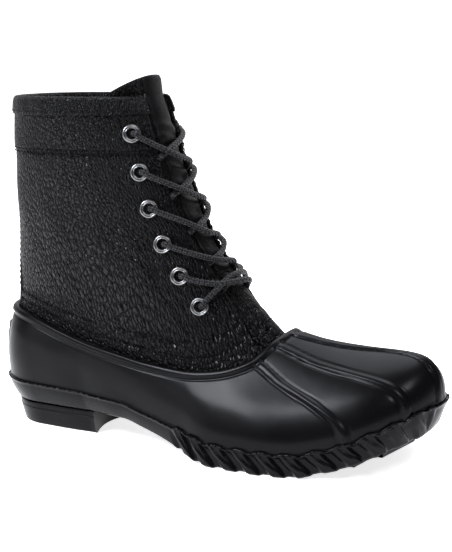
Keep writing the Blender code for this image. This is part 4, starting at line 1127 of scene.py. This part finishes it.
def build_heel():
    """The heel lift, drawn in to the floor, with a fine line under its top and a hollowed breast."""
    shares = np.linspace(0, 0.5, 240)
    shares = shares[edge(LATERAL, shares)[0][:, 0] < HEEL_LENGTH - 0.001]
    levels = ((1.0, 0.0002), (0.97, 0.0), (0.80, 0.0002), (0.78, 0.0006), (0.75, 0.0006), (0.73, 0.0003),
              (0.40, 0.0014), (0.08, 0.0026), (0.03, 0.0029), (0.0, 0.0036))
    rings = []
    for level, draw in levels:
        inset = SOLE_THICKNESS * 0.55 + draw
        near, far = (
            np.vstack([edge(side, shares, inset)[0], [HEEL_LENGTH, side_at(side, HEEL_LENGTH, inset)]])
            for side in (LATERAL, MEDIAL)
        )
        part = np.linspace(0, 1, 24)[1:-1, None]
        hollow = np.array([BREAST_HOLLOW, 0.0]) * np.sin(math.pi * part)
        breast = near[-1] * (1 - part) + far[-1] * part - hollow
        outline = np.concatenate([near, breast, far[:0:-1]])
        rings.append(np.column_stack([outline, np.full(len(outline), HEEL_HEIGHT * level)]))
    points = np.array(rings)
    count = points.shape[1]
    cap = np.stack([points[-1], points[-1] * np.array([0.0, 0.0, 1.0]) + np.array([0.045, 0.0, 0.0])])
    heel = mesh_object("heel_lift", points, grid_quads(len(levels), count, True, 0, True), SOLE_RUBBER)
    mesh_object("heel_face", cap, grid_quads(2, count, True, 0, True), SOLE_RUBBER, flat=True)
    heel.data.set_sharp_from_angle(angle=math.radians(35))
    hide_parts("heel")


def build_insole():
    """The footbed, cupped at its edge."""
    clear = SHELL_INSET + SHELL_WALL + 0.0009
    shares = np.linspace(0, 1, 141)
    section = ((0.030, 0.0040), (0.020, 0.0040), (0.010, 0.0042), (0.004, 0.0056),
               (0.0012, 0.0063), (0.0, 0.0050), (0.0004, 0.0))
    narrow = np.minimum(1.0, 0.15 + 2.2 * np.sin(math.pi * np.clip(shares, 0.03, 0.97)))
    rings = []
    for inset, height in section:
        near, far = (edge(side, shares, clear + inset * narrow)[0] for side in (LATERAL, MEDIAL))
        spots = np.concatenate([near, far[-2:0:-1]])
        rings.append(np.column_stack([spots, sole_top(spots[:, 0]) + height]))
    points = np.array(rings)
    count = points.shape[1]
    step = np.arange(1, count // 2 - 1)
    middle = np.stack([step, count - step, count - step - 1, step + 1], -1)
    quads = np.concatenate([grid_quads(len(rings), count, True, 0, True), middle])
    sole = mesh_object("footbed", points, quads, LINING, points[..., :2])
    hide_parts("insole")


# Set and camera, all in metres of the row's frame
CAMERA_AZIMUTH, CAMERA_ELEVATION, CAMERA_ROLL = 27.393, 10.786, -0.666
CAMERA_PLACE, CAMERA_LENS, CAMERA_SHIFT = (0.49343, -0.64521, 0.24353), 78.156, 0.0055
SWEEP_NEAR, SWEEP_BACK, SWEEP_BEND, SWEEP_TOP, SWEEP_HALF = -0.95, 3.4, 1.2, 6.0, 7.0
SWEEP_TURN = 27.4
ROOM_LIGHT, FLOOR_GLOW = 0.12, 0.80
LAMP_COLOUR = (0.92, 0.95, 1.0)
LAMPS = (
    ("key_left", (-0.40, -0.72, 0.94), (0.02, -0.04, 0.08), 0.58, 22.0),
    ("overhead", (-0.10, 0.42, 1.25), (0.06, 0.0, 0.08), 0.90, 12.0),
    ("side_left", (-0.88, -0.88, 0.34), (-0.04, 0.0, 0.15), 0.45, 1.4),
    ("toe_side", (0.75, -0.42, 0.90), (0.10, 0.0, 0.04), 0.30, 3.4),
)


def stand(name, data, right, back, place):
    """Puts a lamp or the camera at its place, looking against the back direction."""
    turn = np.eye(4)
    turn[:3, 0], turn[:3, 1], turn[:3, 2], turn[:3, 3] = right, np.cross(back, right), back, place
    obj = bpy.data.objects.new(name, data)
    bpy.context.scene.collection.objects.link(obj)
    obj.matrix_world = Matrix(turn.tolist())
    return obj


def build_set():
    """A white sweep with no horizon, a dim room, large soft lamps."""
    bend = np.linspace(0, math.pi / 2, 16)
    depth = [SWEEP_NEAR, *(SWEEP_BACK - SWEEP_BEND + SWEEP_BEND * np.sin(bend)), SWEEP_BACK]
    rise = [0.0, *(SWEEP_BEND - SWEEP_BEND * np.cos(bend)), SWEEP_TOP]
    points = [(x, y, z) for y, z in zip(depth, rise) for x in (-SWEEP_HALF, SWEEP_HALF)]
    mesh = bpy.data.meshes.new("floor")
    mesh.from_pydata(points, [], [tuple(quad) for quad in grid_quads(len(depth), 2).tolist()])
    floor = bpy.data.objects.new("floor", mesh)
    bpy.context.scene.collection.objects.link(floor)
    floor.rotation_euler = (0, 0, math.radians(SWEEP_TURN))
    floor.location = (0, 0, -0.0002)
    mesh.shade_smooth()
    pale, pale_node = shader("pale_floor", (0.88, 0.88, 0.88), 0.8)
    pale_node.inputs["Emission Color"].default_value = (1, 1, 1, 1)
    pale_node.inputs["Emission Strength"].default_value = FLOOR_GLOW
    mesh.materials.append(pale)
    world = bpy.data.worlds.new("studio")
    bpy.context.scene.world = world
    world.use_nodes = True
    background = world.node_tree.nodes["Background"]
    background.inputs["Color"].default_value = (1.0, 1.0, 1.0, 1)
    background.inputs["Strength"].default_value = ROOM_LIGHT
    for name, place, target, size, power in LAMPS:
        light = bpy.data.lights.new(name, "AREA")
        light.shape = "SQUARE"
        light.size, light.energy, light.color = size, power, LAMP_COLOUR
        back = unit(np.array(place) - np.array(target))
        stand(name, light, unit(np.cross([0.0, 0.0, 1.0], back)), back, place)


def build_camera():
    """The photo's view: its directions, distance and lens were found by fitting the outline."""
    azimuth, elevation, roll = map(math.radians, (CAMERA_AZIMUTH, CAMERA_ELEVATION, CAMERA_ROLL))
    level = math.cos(elevation)
    back = np.array([math.sin(azimuth) * level, -math.cos(azimuth) * level, math.sin(elevation)])
    right = np.array([math.cos(azimuth), math.sin(azimuth), 0.0])
    right = math.cos(roll) * right + math.sin(roll) * np.cross(back, right)
    camera = bpy.data.cameras.new("photo_camera")
    camera.sensor_width, camera.lens, camera.shift_x = 36.0, CAMERA_LENS, CAMERA_SHIFT
    camera.clip_start, camera.clip_end = 0.01, 50.0
    bpy.context.scene.camera = stand("photo_camera", camera, right, back, np.array(CAMERA_PLACE) + SHIFT)
    bpy.context.scene.view_settings.view_transform = "Standard"
    bpy.context.scene.view_settings.gamma = 0.80


build_shell()
build_shaft()
build_backstay()
build_binding()
build_tongue()
for flank in (LATERAL, MEDIAL):
    for place_number in range(6):
        build_eyelet(flank, place_number)
build_laces()
build_outsole()
build_tread()
build_heel()
build_insole()
build_set()
build_camera()
